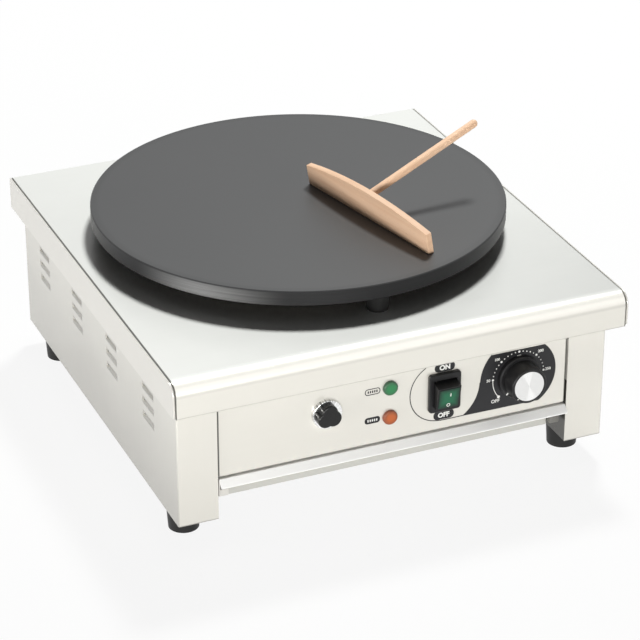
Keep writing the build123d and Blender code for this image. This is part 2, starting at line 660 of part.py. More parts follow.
def element(ring):
    """A ring heater whose two ends turn down through the cover."""
    gap = ELEMENT_GAP_ANGLE
    torus = Torus(ring, ELEMENT_RADIUS, major_angle=360 - gap)
    solid = Pos(0, PLATE_Y, element_z) * Rot(0, 0, 90 + gap / 2) * torus
    for side in (-1, 1):
        x, y, z = around_plate(90 + side * gap / 2, ring, element_z)
        solid += Pos(x, y, z) * Sphere(ELEMENT_RADIUS)
        solid += rod(ELEMENT_RADIUS, (x, y, z - ELEMENT_TAIL), (x, y, z))
    return solid


def holes_for_heater(solid, z0, z1):
    """Cut the holes that the heater ends, the capillary and the studs pass through."""
    for x, y, z in tail_points(z0):
        solid -= rod(TAIL_HOLE, (x, y, z), (x, y, z1))
    for x, y, z in stud_points(z0):
        solid -= rod(CLAMP_STUD / 2 + HOLE_CLEARANCE, (x, y, z), (x, y, z1))
    x, y = bulb_end + CAPILLARY_START, PLATE_Y
    return solid - rod(TAIL_HOLE, (x, y, z0), (x, y, z1))


def element_clamp():
    disc = plate_solid(clamp_radius, clamp_bottom, plate_bottom)
    return holes_for_heater(disc, clamp_bottom, plate_bottom)


def insulation():
    disc = plate_solid(clamp_radius, insulation_bottom, clamp_bottom)
    return holes_for_heater(disc, insulation_bottom, clamp_bottom)


def heat_shield():
    shield = plate_solid(shield_radius, shield_bottom, plate_bottom)
    shield -= plate_solid(shield_radius - THIN_SHEET, insulation_bottom, plate_bottom)
    return holes_for_heater(shield, shield_bottom, insulation_bottom)


def clamp_studs():
    low = shield_bottom - CLAMP_NUT_HEIGHT - CLAMP_STUD_END
    high = plate_bottom + CLAMP_STUD_DEPTH
    return [rod(CLAMP_STUD / 2, (x, y, low), (x, y, high)) for x, y, z in stud_points(0)]


def clamp_nuts():
    low = shield_bottom - CLAMP_NUT_HEIGHT
    across = CLAMP_STUD * NUT_RATIO
    bore = CLAMP_STUD / 2
    return [hex_nut(across, bore, (x, y, low), (x, y, shield_bottom)) for x, y, z in stud_points(0)]


def plate_supports():
    supports = []
    tops = support_points(plate_bottom)
    for low, high in zip(support_points(cover_top), tops):
        support = rod(SUPPORT_BOTTOM / 2, low, high, SUPPORT_TOP / 2)
        supports.append(support - rod(PLATE_BOLT / 2 + HOLE_CLEARANCE, low, high))
    return supports


def plate_bolts():
    low = body_top - PLATE_NUT_HEIGHT - PLATE_BOLT_END
    high = plate_bottom + PLATE_BOLT_DEPTH
    return [rod(PLATE_BOLT / 2, (x, y, low), (x, y, high)) for x, y, z in support_points(0)]


def plate_nuts():
    low = body_top - PLATE_NUT_HEIGHT
    across = PLATE_BOLT * NUT_RATIO
    return [hex_nut(across, PLATE_BOLT / 2, (x, y, low), (x, y, body_top)) for x, y, z in support_points(0)]


# ---- sensing bulb and capillary ----
def sensing_bulb():
    return rod(BULB_RADIUS, (bulb_end - BULB_LENGTH, PLATE_Y, bulb_z), (bulb_end, PLATE_Y, bulb_z))


def capillary_route():
    """The capillary's corner points, from the bulb down through the cover to the thermostat."""
    thermostat_rear = panel_back + THERMOSTAT_DEPTH
    end_x = knob_x - CAPILLARY_OFFSET
    end_z = KNOB_Z + CAPILLARY_OFFSET
    return [
        (bulb_end, PLATE_Y, bulb_z),
        (bulb_end + CAPILLARY_START, PLATE_Y, bulb_z),
        (bulb_end + 12.5, PLATE_Y - 3, bulb_z - 18),
        (bulb_end + 14, PLATE_Y - 14, bulb_z - 42),
        (bulb_end + 24, PLATE_Y - 38, bulb_z - 62),
        (bulb_end + 44, PLATE_Y - 76, bulb_z - 74),
        (bulb_end + 68, PLATE_Y - 118, bulb_z - 82),
        (end_x, thermostat_rear + CAPILLARY_END, end_z),
        (end_x, thermostat_rear, end_z),
    ]


def capillary():
    points = [Vector(*point) for point in capillary_route()]
    radii = []
    for before, corner, after in zip(points, points[1:], points[2:]):
        first, second = corner - before, after - corner
        turn = radians(first.get_angle(second))
        radii.append(CAPILLARY_BEND * min(first.length, second.length) / tan(turn / 2))
    print("capillary radii", [round(radius, 1) for radius in radii])
    path = FilletPolyline(*points, radius=radii)
    start = Plane(origin=points[0], z_dir=points[1] - points[0])
    return sweep(start * Circle(CAPILLARY_RADIUS), path=path)


# ---- thermostat and knob ----
def shaft_bar(y0, y1, play):
    """The shaft's D-shaped section over a length, enlarged by a play."""
    bar = rod(SHAFT_RADIUS + play, (knob_x, y0, KNOB_Z), (knob_x, y1, KNOB_Z))
    flat = KNOB_Z + SHAFT_RADIUS - SHAFT_FLAT + play
    reach = 2 * SHAFT_RADIUS
    return bar - block(knob_x - reach, knob_x + reach, y0, y1, flat, flat + reach)


def thermostat_body():
    half = THERMOSTAT_WIDTH / 2
    rise = THERMOSTAT_HEIGHT / 2
    body = block(knob_x - half, knob_x + half, panel_back, panel_back + THERMOSTAT_DEPTH,
                 KNOB_Z - rise, KNOB_Z + rise)
    body = fillet(body.edges().filter_by(Axis.Y), SHEET)
    body -= rod(SHAFT_RADIUS + FIT, (knob_x, panel_back, KNOB_Z),
                (knob_x, panel_back + SHAFT_IN_BODY + FIT, KNOB_Z))
    for side in (-1, 1):
        x = knob_x + side * THERMOSTAT_SCREW_PITCH / 2
        body -= rod(SMALL_SCREW / 2, (x, panel_back, KNOB_Z), (x, panel_back + SHAFT_IN_BODY, KNOB_Z))
    return body


def thermostat_screws():
    screws = []
    for side in (-1, 1):
        x = knob_x + side * THERMOSTAT_SCREW_PITCH / 2
        seat = (x, panel_face, KNOB_Z)
        tip = (x, panel_back + SHAFT_IN_BODY - SHEET, KNOB_Z)
        screws.append(pan_screw(SMALL_SCREW / 2, SMALL_HEAD / 2, SMALL_HEAD_HEIGHT, seat, tip))
    return screws


def thermostat_shaft():
    turned = knob_disc(SHAFT_RADIUS, panel_back + SHAFT_IN_BODY, panel_face)
    return turned + shaft_bar(knob_back - SHAFT_IN_KNOB, panel_face, 0)


def knob_disc(radius, y0, y1, front_radius=None):
    """A disc on the knob's axis from y0 forward to y1."""
    return rod(radius, (knob_x, y0, KNOB_Z), (knob_x, y1, KNOB_Z), front_radius)


def knob():
    skirt_front = knob_back - KNOB_SKIRT
    skirt = knob_disc(KNOB_SKIRT_RADIUS, knob_back, skirt_front)
    skirt = chamfer(skirt.edges().group_by(Axis.Y)[0], KNOB_SKIRT_EDGE)
    body = knob_disc(KNOB_RADIUS, skirt_front, knob_front, KNOB_RADIUS - KNOB_TAPER)
    body = fillet(body.edges().group_by(Axis.Y)[0], KNOB_EDGE)
    solid = skirt + body
    solid -= knob_disc(KNOB_CAVITY_RADIUS, knob_back, knob_back - KNOB_CAVITY)
    solid -= shaft_bar(knob_back - SHAFT_IN_KNOB, knob_back, FIT)
    return solid - knob_disc(KNOB_CAP_RADIUS, knob_front + KNOB_CAP_THICKNESS, knob_front)


def knob_cap():
    disc = knob_disc(KNOB_CAP_RADIUS, knob_front + KNOB_CAP_THICKNESS, knob_front)
    return chamfer(disc.edges().group_by(Axis.Y)[0], KNOB_CAP_EDGE)


# ---- switch ----
def switch_opening():
    """Height of the hole that the rocker swings in."""
    corner = ROCKER_LENGTH / 2 / cos(radians(ROCKER_TILT))
    swing = (PIVOT_DEPTH + BEZEL_THICKNESS) * tan(radians(ROCKER_TILT))
    return 2 * (corner + swing + ROCKER_CLEARANCE)


def rocker_block(width, length, back, face):
    """A block in front of the switch's pivot, tilted as the rocker is when it is off."""
    place = Pos(switch_x, pivot_y, SWITCH_Z) * Rot(ROCKER_TILT, 0, 0)
    return place * block(-width / 2, width / 2, -face, back, -length / 2, length / 2)


def switch_housing():
    half = ROCKER_WIDTH / 2 + ROCKER_CLEARANCE
    rise = switch_opening() / 2
    front = panel_face - BEZEL_THICKNESS
    bezel = block(switch_x - BEZEL_WIDTH / 2, switch_x + BEZEL_WIDTH / 2, front, panel_face,
                  SWITCH_Z - BEZEL_HEIGHT / 2, SWITCH_Z + BEZEL_HEIGHT / 2)
    bezel = fillet(bezel.edges().filter_by(Axis.Y), BEZEL_CORNER)
    bezel = chamfer(bezel.edges().group_by(Axis.Y)[0], BEZEL_EDGE)
    outer_half = half + SWITCH_WALL
    outer_rise = rise + SWITCH_END_WALL
    back = panel_face + SWITCH_DEPTH
    body = block(switch_x - outer_half, switch_x + outer_half, panel_face, back,
                 SWITCH_Z - outer_rise, SWITCH_Z + outer_rise)
    body += bezel
    body -= block(switch_x - half, switch_x + half, front, pivot_y + SWITCH_CAVITY,
                  SWITCH_Z - rise, SWITCH_Z + rise)
    body -= pivot_pin(ROCKER_PIN + FIT, half + ROCKER_PIN_LENGTH)
    tab = TAB_WIDTH / 2
    tab_end = back + TAB_LENGTH
    for row in (-1, 0, 1):
        z = SWITCH_Z + row * rise / 2
        body += block(switch_x - tab, switch_x + tab, back, tab_end, z - TAB_SHEET / 2, z + TAB_SHEET / 2)
    return body


def pivot_pin(radius, reach):
    """The rocker's pivot, reaching to both sides."""
    return rod(radius, (switch_x - reach, pivot_y, SWITCH_Z), (switch_x + reach, pivot_y, SWITCH_Z))


def rocker_lens():
    """The lens that fills the pocket in the rocker's face."""
    inset = 2 * LENS_BORDER
    lens_back = LENS_THICKNESS - ROCKER_FACE
    return rocker_block(ROCKER_WIDTH - inset, ROCKER_LENGTH - inset, lens_back, ROCKER_FACE + LENS_PROUD)


def switch_rocker():
    rocker = rocker_block(ROCKER_WIDTH, ROCKER_LENGTH, ROCKER_BACK, ROCKER_FACE)
    rocker += pivot_pin(ROCKER_PIN, ROCKER_WIDTH / 2 + ROCKER_PIN_LENGTH)
    return rocker - rocker_lens()


# ---- lamps ----
def lamp_points():
    """The middles of the two lamps as pairs of x and z."""
    return [(lamp_x, SWITCH_Z + hand * LAMP_PITCH / 2) for hand in (1, -1)]


def lamp_lens(x, z):
    lens = rod(LAMP_RADIUS, (x, panel_face, z), (x, panel_face - LAMP_RIM - LAMP_EDGE, z))
    return fillet(lens.edges().group_by(Axis.Y)[0], LAMP_EDGE)


def lamp_body(x, z):
    end = panel_face + LAMP_BARREL_LENGTH
    body = rod(LAMP_BARREL, (x, panel_face, z), (x, end, z))
    body += rod(LAMP_CLIP_RADIUS, (x, panel_back, z), (x, panel_back + LAMP_CLIP, z))
    for hand in (-1, 1):
        tab_x = x + hand * LAMP_BARREL / 2
        body += block(tab_x - TAB_SHEET / 2, tab_x + TAB_SHEET / 2, end, end + TAB_LENGTH,
                      z - LAMP_TAB_WIDTH / 2, z + LAMP_TAB_WIDTH / 2)
    return body


# ---- overheat reset ----
def limiter_body():
    rear = panel_back + LIMITER_DEPTH
    body = rod(LIMITER_RADIUS, (reset_x, panel_back, RESET_Z), (reset_x, rear, RESET_Z))
    body += rod(RESET_NECK, (reset_x, neck_front, RESET_Z), (reset_x, panel_back, RESET_Z))
    pin_back = neck_front + RESET_PIN_LENGTH + CAP_GAP
    return body - rod(RESET_PIN + FIT, (reset_x, neck_front, RESET_Z), (reset_x, pin_back, RESET_Z))


def reset_ring():
    ring = rod(RESET_RING_RADIUS, (reset_x, panel_face, RESET_Z), (reset_x, ring_front, RESET_Z))
    ring = fillet(ring.edges().group_by(Axis.Y)[0], RESET_RING_EDGE)
    return ring - rod(RESET_NECK, (reset_x, ring_front, RESET_Z), (reset_x, panel_face, RESET_Z))


def reset_button():
    front = neck_front - RESET_PIN_PROUD
    return rod(RESET_PIN, (reset_x, front, RESET_Z), (reset_x, front + RESET_PIN_LENGTH, RESET_Z))


def reset_cap():
    """A three-lobed cap that covers the button and screws on the neck."""
    back = ring_front - CAP_GAP
    front = ring_front - RESET_CAP_LENGTH
    cap = rod(RESET_LOBE_CIRCLE + 1, (reset_x, back, RESET_Z), (reset_x, front, RESET_Z))
    for angle in (90, 210, 330):
        x = reset_x + RESET_LOBE_CIRCLE * cos(radians(angle))
        z = RESET_Z + RESET_LOBE_CIRCLE * sin(radians(angle))
        cap += rod(RESET_LOBE_RADIUS, (x, back, z), (x, front, z))
    cap = fillet(cap.edges().group_by(Axis.Y)[0], RESET_CAP_EDGE)
    bore_end = neck_front - RESET_PIN_PROUD - CAP_GAP
    return cap - rod(RESET_NECK + FIT, (reset_x, back, RESET_Z), (reset_x, bore_end, RESET_Z))


# ---- mains entry and wiring points ----
def gland_point(y):
    return (gland_x, y, GLAND_Z)


def cable_gland():
    hex_end = rear_face + GLAND_HEX_THICKNESS
    tip = rear_face + GLAND_REACH
    thread_end = rear_face - GLAND_THREAD_LENGTH
    gland = hex_nut(GLAND_HEX, GLAND_BORE, gland_point(rear_face), gland_point(hex_end))
    dome = rod(GLAND_DOME, gland_point(hex_end), gland_point(tip))
    gland += fillet(dome.edges().group_by(Axis.Y)[-1], GLAND_ROUND)
    gland += rod(GLAND_THREAD, gland_point(thread_end), gland_point(rear_face))
    return gland - rod(GLAND_BORE, gland_point(thread_end), gland_point(tip))


def gland_locknut():
    front = gland_point(body_rear - LOCKNUT_THICKNESS)
    return hex_nut(GLAND_HEX, GLAND_THREAD, front, gland_point(body_rear))


def terminal_block():
    x0 = gland_x - TERMINAL_LENGTH / 2
    y1 = body_rear - REAR_RETURN
    y0 = y1 - TERMINAL_DEPTH
    solid = block(x0, x0 + TERMINAL_LENGTH, y0, y1, pan_top, pan_top + TERMINAL_HEIGHT)
    pitch = TERMINAL_LENGTH / TERMINAL_COUNT
    for pole in range(TERMINAL_COUNT):
        x = x0 + pitch * (pole + 0.5)
        z = pan_top + TERMINAL_HEIGHT / 2
        solid -= rod(TERMINAL_SCREW, (x, y0, z), (x, y1, z))
        for y in (y0 + TERMINAL_DEPTH / 4, y1 - TERMINAL_DEPTH / 4):
            solid -= rod(TERMINAL_SCREW, (x, y, z), (x, y, pan_top + TERMINAL_HEIGHT))
    return solid


def earth_stud():
    top = pan_top + EARTH_LENGTH
    return rod(EARTH_STUD / 2, (earth_x, earth_y, PAN_Z), (earth_x, earth_y, top))


def earth_nuts():
    first = pan_top
    second = first + EARTH_NUT + THIN_SHEET
    across = EARTH_STUD * NUT_RATIO
    nuts = []
    for z in (first, second):
        seat, top = (earth_x, earth_y, z), (earth_x, earth_y, z + EARTH_NUT)
        nuts.append(hex_nut(across, EARTH_STUD / 2, seat, top))
    return nuts


# ---- spreader ----
def spreader_frame():
    """The blade's own frame: X along the blade, Y out of its back, Z up its height."""
    turn = radians(SPREADER_TURN)
    lean = radians(BLADE_LEAN)
    along = Vector(cos(turn), sin(turn), 0)
    out = Vector(-sin(turn), cos(turn), 0)
    height = Vector(0, 0, 1) * cos(lean) - out * sin(lean)
    origin = Vector(SPREADER_X, SPREADER_Y, plate_top)
    return Plane(origin=origin, x_dir=along, z_dir=height)


def handle_rod(start, end, radius):
    """A round bar along the handle's axis, between two distances from the back of the blade."""
    rise = radians(HANDLE_RISE)
    def point(distance):
        return (0, BLADE_THICKNESS + distance * cos(rise), HANDLE_SEAT + distance * sin(rise))
    return Location(spreader_frame()) * rod(radius, point(start), point(end))


def spreader_blade():
    """An arched blade that stands on its straight edge."""
    half = SPREADER_LENGTH / 2
    arch = BLADE_MIDDLE - BLADE_END
    below = BLADE_THICKNESS
    outline = Polyline((half, BLADE_END), (half, -below), (-half, -below), (-half, BLADE_END))
    top = ThreePointArc((-half, BLADE_END), (0, BLADE_END + arch), (half, BLADE_END))
    face = make_face([outline.edges(), top.edges()])
    blade = extrude(Plane.XZ * face, amount=-BLADE_THICKNESS)
    blade = Location(spreader_frame()) * blade
    reach = SPREADER_LENGTH
    floor = block(SPREADER_X - reach, SPREADER_X + reach, SPREADER_Y - reach, SPREADER_Y + reach,
                  plate_top - reach, plate_top)
    blade -= floor
    return blade - handle_rod(-HANDLE_IN_BLADE, BLADE_THICKNESS, HANDLE_RADIUS)


def spreader_handle():
    tip = HANDLE_LENGTH - HANDLE_RADIUS
    handle = handle_rod(-HANDLE_IN_BLADE, tip, HANDLE_RADIUS)
    rise = radians(HANDLE_RISE)
    end = (0, BLADE_THICKNESS + tip * cos(rise), HANDLE_SEAT + tip * sin(rise))
    return handle + Location(spreader_frame()) * (Pos(*end) * Sphere(HANDLE_RADIUS))


# ---- write every node ----
def save(name, shape):
    """Write one sub-part; a list becomes a group of separate solids."""
    if isinstance(shape, list):
        shape = Compound(children=shape)
    shape.label = name
    export_step(shape, f"parts/{name}.step")


def main():
    os.makedirs("parts", exist_ok=True)
    right_cap, right_side, right_rail = end_cap(), side_panel(), tray_rail()
    upper, lower = lamp_points()
    nodes = {
        "top_cover": top_cover(),
        "right_end_cap": right_cap,
        "left_end_cap": mirrored(right_cap),
        "right_side_panel": right_side,
        "left_side_panel": mirrored(right_side),
        "rear_panel": rear_panel(),
        "rear_screws": rear_screws(),
        "control_panel": control_panel(),
        "panel_screws": panel_screws(),
        "base_pan": base_pan(),
        "crumb_tray": crumb_tray(),
        "right_tray_rail": right_rail,
        "left_tray_rail": mirrored(right_rail),
        "rubber_feet": rubber_feet(),
        "foot_screws": foot_screws(),
        "foot_nuts": foot_nuts(),
        "crepe_plate": crepe_plate(),
        "inner_element": element(INNER_RING),
        "outer_element": element(outer_ring),
        "element_clamp": element_clamp(),
        "insulation": insulation(),
        "heat_shield": heat_shield(),
        "clamp_studs": clamp_studs(),
        "clamp_nuts": clamp_nuts(),
        "plate_supports": plate_supports(),
        "plate_bolts": plate_bolts(),
        "plate_nuts": plate_nuts(),
        "sensing_bulb": sensing_bulb(),
        "capillary": capillary(),
        "thermostat_body": thermostat_body(),
        "thermostat_screws": thermostat_screws(),
        "thermostat_shaft": thermostat_shaft(),
        "knob": knob(),
        "knob_cap": knob_cap(),
        "switch_housing": switch_housing(),
        "switch_rocker": switch_rocker(),
        "rocker_lens": rocker_lens(),
        "power_lamp_lens": lamp_lens(*upper),
        "power_lamp_body": lamp_body(*upper),
        "heating_lamp_lens": lamp_lens(*lower),
        "heating_lamp_body": lamp_body(*lower),
        "limiter_body": limiter_body(),
        "reset_ring": reset_ring(),
        "reset_button": reset_button(),
        "reset_cap": reset_cap(),
        "cable_gland": cable_gland(),
        "gland_locknut": gland_locknut(),
        "terminal_block": terminal_block(),
        "earth_stud": earth_stud(),
        "earth_nuts": earth_nuts(),
        "spreader_blade": spreader_blade(),
        "spreader_handle": spreader_handle(),
    }
    for name, shape in nodes.items():
        save(name, shape)


main()
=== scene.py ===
import json
import math

import bmesh
import bpy
from mathutils import Matrix, Vector


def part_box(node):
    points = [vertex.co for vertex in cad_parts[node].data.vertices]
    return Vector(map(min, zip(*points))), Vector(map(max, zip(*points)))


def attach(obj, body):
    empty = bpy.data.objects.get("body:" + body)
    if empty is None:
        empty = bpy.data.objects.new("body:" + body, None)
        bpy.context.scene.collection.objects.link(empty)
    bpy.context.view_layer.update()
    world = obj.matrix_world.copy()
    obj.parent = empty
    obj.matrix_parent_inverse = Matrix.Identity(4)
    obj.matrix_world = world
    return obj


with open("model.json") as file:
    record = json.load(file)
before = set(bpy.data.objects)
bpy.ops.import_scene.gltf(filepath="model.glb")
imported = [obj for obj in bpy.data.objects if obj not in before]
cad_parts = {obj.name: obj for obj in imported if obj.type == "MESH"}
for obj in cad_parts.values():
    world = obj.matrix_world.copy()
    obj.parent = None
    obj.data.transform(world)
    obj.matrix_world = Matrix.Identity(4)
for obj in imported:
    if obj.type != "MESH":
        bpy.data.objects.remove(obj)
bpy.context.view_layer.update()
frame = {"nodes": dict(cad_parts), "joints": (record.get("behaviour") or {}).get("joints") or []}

nodes = frame["nodes"]
pivots = {joint["name"]: joint.get("pos_m") for joint in frame["joints"]}
mm = 0.001
print("frame loaded:", len(nodes), "nodes")


class Term:
    # one value of a shader; each operator adds a Math node
    def __init__(self, paint, socket):
        self.paint = paint
        self.socket = socket

    def maths(self, operation, *others, clamp=False):
        settings = {"operation": operation, "use_clamp": clamp}
        return self.paint.node("ShaderNodeMath", settings, [self, *others])

    def __add__(self, other):
        return self.maths("ADD", other)

    def __sub__(self, other):
        return self.maths("SUBTRACT", other)

    def __mul__(self, other):
        return self.maths("MULTIPLY", other)

    def __truediv__(self, other):
        return self.maths("DIVIDE", other)

    def __pow__(self, other):
        return self.maths("POWER", other)

    def __abs__(self):
        return self.maths("ABSOLUTE")

    def __rsub__(self, other):
        return self.paint.node("ShaderNodeMath", {"operation": "SUBTRACT"}, [other, self])

    __radd__ = __add__
    __rmul__ = __mul__

    def clamped(self):
        return self.maths("ADD", 0.0, clamp=True)

    def swing(self, share):
        # turns noise, which lies about 0.5, into a swing about 0
        return (self - 0.5) * share

    def between(self, low, high):
        # low where this is 0 and high where it is 1
        return self * (high - low) + low

    def rise(self, start, end):
        # 0 at start, 1 at end, smooth between; start may be the larger
        sockets = {"Value": self, "From Min": start, "From Max": end}
        return self.paint.node("ShaderNodeMapRange", {"interpolation_type": "SMOOTHSTEP"}, sockets)

    def riseFrom(self, edge, start, end):
        # the same, with start and end measured from an edge
        return self.rise(edge + start, edge + end)

    def bell(self, middle, reach):
        # 1 at the middle, 0 from reach on at both sides
        return abs(self - middle).rise(reach, 0.0)


socketNames = {
    "colour": "Base Color",
    "metal": "Metallic",
    "rough": "Roughness",
    "gloss": "Specular IOR Level",
    "normal": "Normal",
}


class Paint:
    # a node tree with short ways to fill it
    def __init__(self, tree):
        self.tree = tree
        self.shader = tree.nodes.get("Principled BSDF")

    def node(self, kind, settings, inputs=(), output=0):
        # settings first, then the sockets, by number or by name
        made = self.tree.nodes.new(kind)
        for key, value in settings.items():
            setattr(made, key, value)
        for key, value in inputs.items() if isinstance(inputs, dict) else enumerate(inputs):
            self.feed(made.inputs[key], value)
        if isinstance(output, tuple):
            return [Term(self, made.outputs[key]) for key in output]
        return Term(self, made.outputs[output])

    def feed(self, socket, value):
        if isinstance(value, Term):
            self.tree.links.new(value.socket, socket)
        elif socket.type == "RGBA":
            socket.default_value = (*value, 1.0)
        else:
            socket.default_value = value

    def set(self, **values):
        for key, value in values.items():
            self.feed(self.shader.inputs[socketNames[key]], value)

    def place(self, origin=(0.0, 0.0, 0.0)):
        # position in metres, measured from origin
        spot = self.node("ShaderNodeTexCoord", {}, output="Object")
        return self.node("ShaderNodeVectorMath", {"operation": "SUBTRACT"}, [spot, origin])

    def stretch(self, vector, scales, turn=0.0):
        # turn is about Z, in degrees
        sockets = {"Vector": vector, "Rotation": (0.0, 0.0, math.radians(turn)), "Scale": scales}
        return self.node("ShaderNodeMapping", {}, sockets)

    def parts(self, vector):
        return self.node("ShaderNodeSeparateXYZ", {}, [vector], (0, 1, 2))

    def join(self, x, y, z):
        return self.node("ShaderNodeCombineXYZ", {}, [x, y, z])

    def noise(self, vector, scale, detail, rough):
        sockets = {"Vector": vector, "Scale": scale, "Detail": detail, "Roughness": rough}
        return self.node("ShaderNodeTexNoise", {}, sockets)

    def streaks(self, vector, scales, detail, rough):
        # noise with a scale of its own along each axis
        return self.noise(self.stretch(vector, scales), 1.0, detail, rough)

    def blend(self, factor, first, second, kind="MIX"):
        settings = {"data_type": "RGBA", "blend_type": kind}
        return self.node("ShaderNodeMix", settings, {0: factor, 6: first, 7: second}, 2)

    def shaded(self, colour, grey):
        # a colour times a grey that varies
        return self.blend(1.0, colour, grey, "MULTIPLY")

    def bump(self, height, depth, strength=0.6):
        sockets = {"Height": height, "Distance": depth, "Strength": strength}
        return self.node("ShaderNodeBump", {}, sockets)


def newPaint(name):
    material = bpy.data.materials.new(name)
    material.use_nodes = True
    return material, Paint(material.node_tree)


def fromAxis(first, second):
    # distance from an axis, out of the two coordinates that are square to it
    return (first * first + second * second) ** 0.5


# in the dictionaries below a noise is its scale per metre, its detail and its roughness, and depths
# are in metres

steel = {
    "colour": (0.825, 0.806, 0.752),
    "rough": 0.25,
    "metal": 0.34,
    "along": 5.0,            # scale of the fine streaks along the grain
    "across": 1700.0,        # and across it
    "fine": (4.0, 0.65),     # their detail and roughness
    "broadShare": 0.13,      # scale of the broad streaks against that of the fine ones
    "broad": (2.0, 0.5),
    "cloud": (6.0, 2.0, 0.5),
    "smudge": (38.0, 4.0, 0.6),
    "streakGrey": 0.014,     # how much the streaks differ in grey
    "cloudGrey": 0.035,      # how much the grey drifts over a sheet
    "smudgeGrey": 0.015,
    "streakRough": 0.04,
    "smudgeRough": 0.06,
    "streakDepth": 0.0000008,
    "broadDepth": 0.4,       # share of that depth that the broad streaks have
}


def brushedSteel(name, grain, tint, rough, metal, detail=None):
    # grain is the axis that the sheet was brushed along; detail works further on its colour and metal
    material, paint = newPaint(name)
    place = paint.place()
    fineScales = [steel["across"]] * 3
    fineScales["XYZ".index(grain)] = steel["along"]
    broadScales = [scale * steel["broadShare"] for scale in fineScales]
    fine = paint.streaks(place, fineScales, *steel["fine"])
    broad = paint.streaks(place, broadScales, *steel["broad"])
    cloud = paint.noise(place, *steel["cloud"])
    smudge = paint.noise(place, *steel["smudge"])
    grey = 1.0 + fine.swing(steel["streakGrey"]) + broad.swing(steel["streakGrey"])
    grey = grey + cloud.swing(steel["cloudGrey"]) + smudge.swing(steel["smudgeGrey"])
    colour = tuple(min(1.0, base * part) for base, part in zip(steel["colour"], tint))
    colour = paint.shaded(colour, grey)
    if detail:
        colour, metal = detail(paint, colour, metal, *paint.parts(place))
    roughness = fine.swing(steel["streakRough"]) + smudge.swing(steel["smudgeRough"]) + rough
    paint.set(colour=colour, metal=metal, rough=roughness.clamped())
    paint.set(normal=paint.bump(fine + broad * steel["broadDepth"], steel["streakDepth"]))
    return material


mill = {
    "bloom": (90.0, 4.0, 0.6),
    "fleck": (900.0, 2.0, 0.5),
    "dark": 0.82,            # the darkest of the bloom against the colour
    "bloomRough": 0.22,
    "fleckRough": 0.08,
    "fleckDepth": 0.000015,
}


def millSteel(name, colour, rough, metal):
    # rolled sheet or plated hardware with a faint cloudy bloom
    material, paint = newPaint(name)
    place = paint.place()
    bloom = paint.noise(place, *mill["bloom"])
    fleck = paint.noise(place, *mill["fleck"])
    dark = tuple(channel * mill["dark"] for channel in colour)
    roughness = bloom.swing(mill["bloomRough"]) + fleck.swing(mill["fleckRough"]) + rough
    paint.set(colour=paint.blend(bloom, dark, colour), metal=metal, rough=roughness.clamped())
    paint.set(normal=paint.bump(fleck, mill["fleckDepth"]))
    return material


plateIron = {
    "top": (0.049, 0.049, 0.050),
    "worn": (0.040, 0.041, 0.043),
    "side": (0.020, 0.020, 0.021),
    "sideHighlight": (0.225, 0.225, 0.227),
    "underside": (0.012, 0.012, 0.012),
    "topRough": 0.46,
    "sideRough": 0.40,
    "topMetal": 0.18,
    "sideMetal": 0.55,
    "gloss": 0.36,
    "rimShade": 0.22,        # how much darker the top is at its rim
    "rimFrom": (-10.0 * mm, -3.0 * mm),       # from the edge, where that starts and where it is full
    "topFrom": (-1.3 * mm, -0.4 * mm),        # from the top, where the side goes over into it
    "footFrom": (1.2 * mm, 0.5 * mm),         # from the underside, the same
    "rimLine": (1.1 * mm, 0.6 * mm, 0.45),    # painted shade line under the rim: drop, reach, strength
    "rings": 1500.0,         # turning marks on the top, in radians per metre of radius
    "ringWobble": 3.0,       # how far they stray, radians
    "wobble": (25.0, 3.0, 0.5),
    "cloud": (9.0, 4.0, 0.55),
    "grain": (1400.0, 2.0, 0.6),
    "grainGrey": (0.93, 1.07),        # darkest and lightest
    "cloudRough": 0.14,
    "grainRough": 0.12,
    "streaks": ((9.0, 9.0, 2400.0), 4.0, 0.6),        # turning marks round the side
    "streakGrey": (0.7, 1.3),
    "streakRough": 0.2,
    "bright": ((221.5, 1.0), (38.0, 0.35), (128.0, 0.5)),       # painted highlights on the side: where, in degrees, and strength
    "highlightSpan": 0.42,      # half the width of such a painted highlight, radians
    # how the painted highlights vary with the side's streaks
    "highlightGrey": (0.45, 1.35),
    "depth": 0.000008,
    "heights": (0.8, 0.5, 1.5),       # of grain, rings and side streaks, times that depth
    "bumpStrength": 0.7,
}


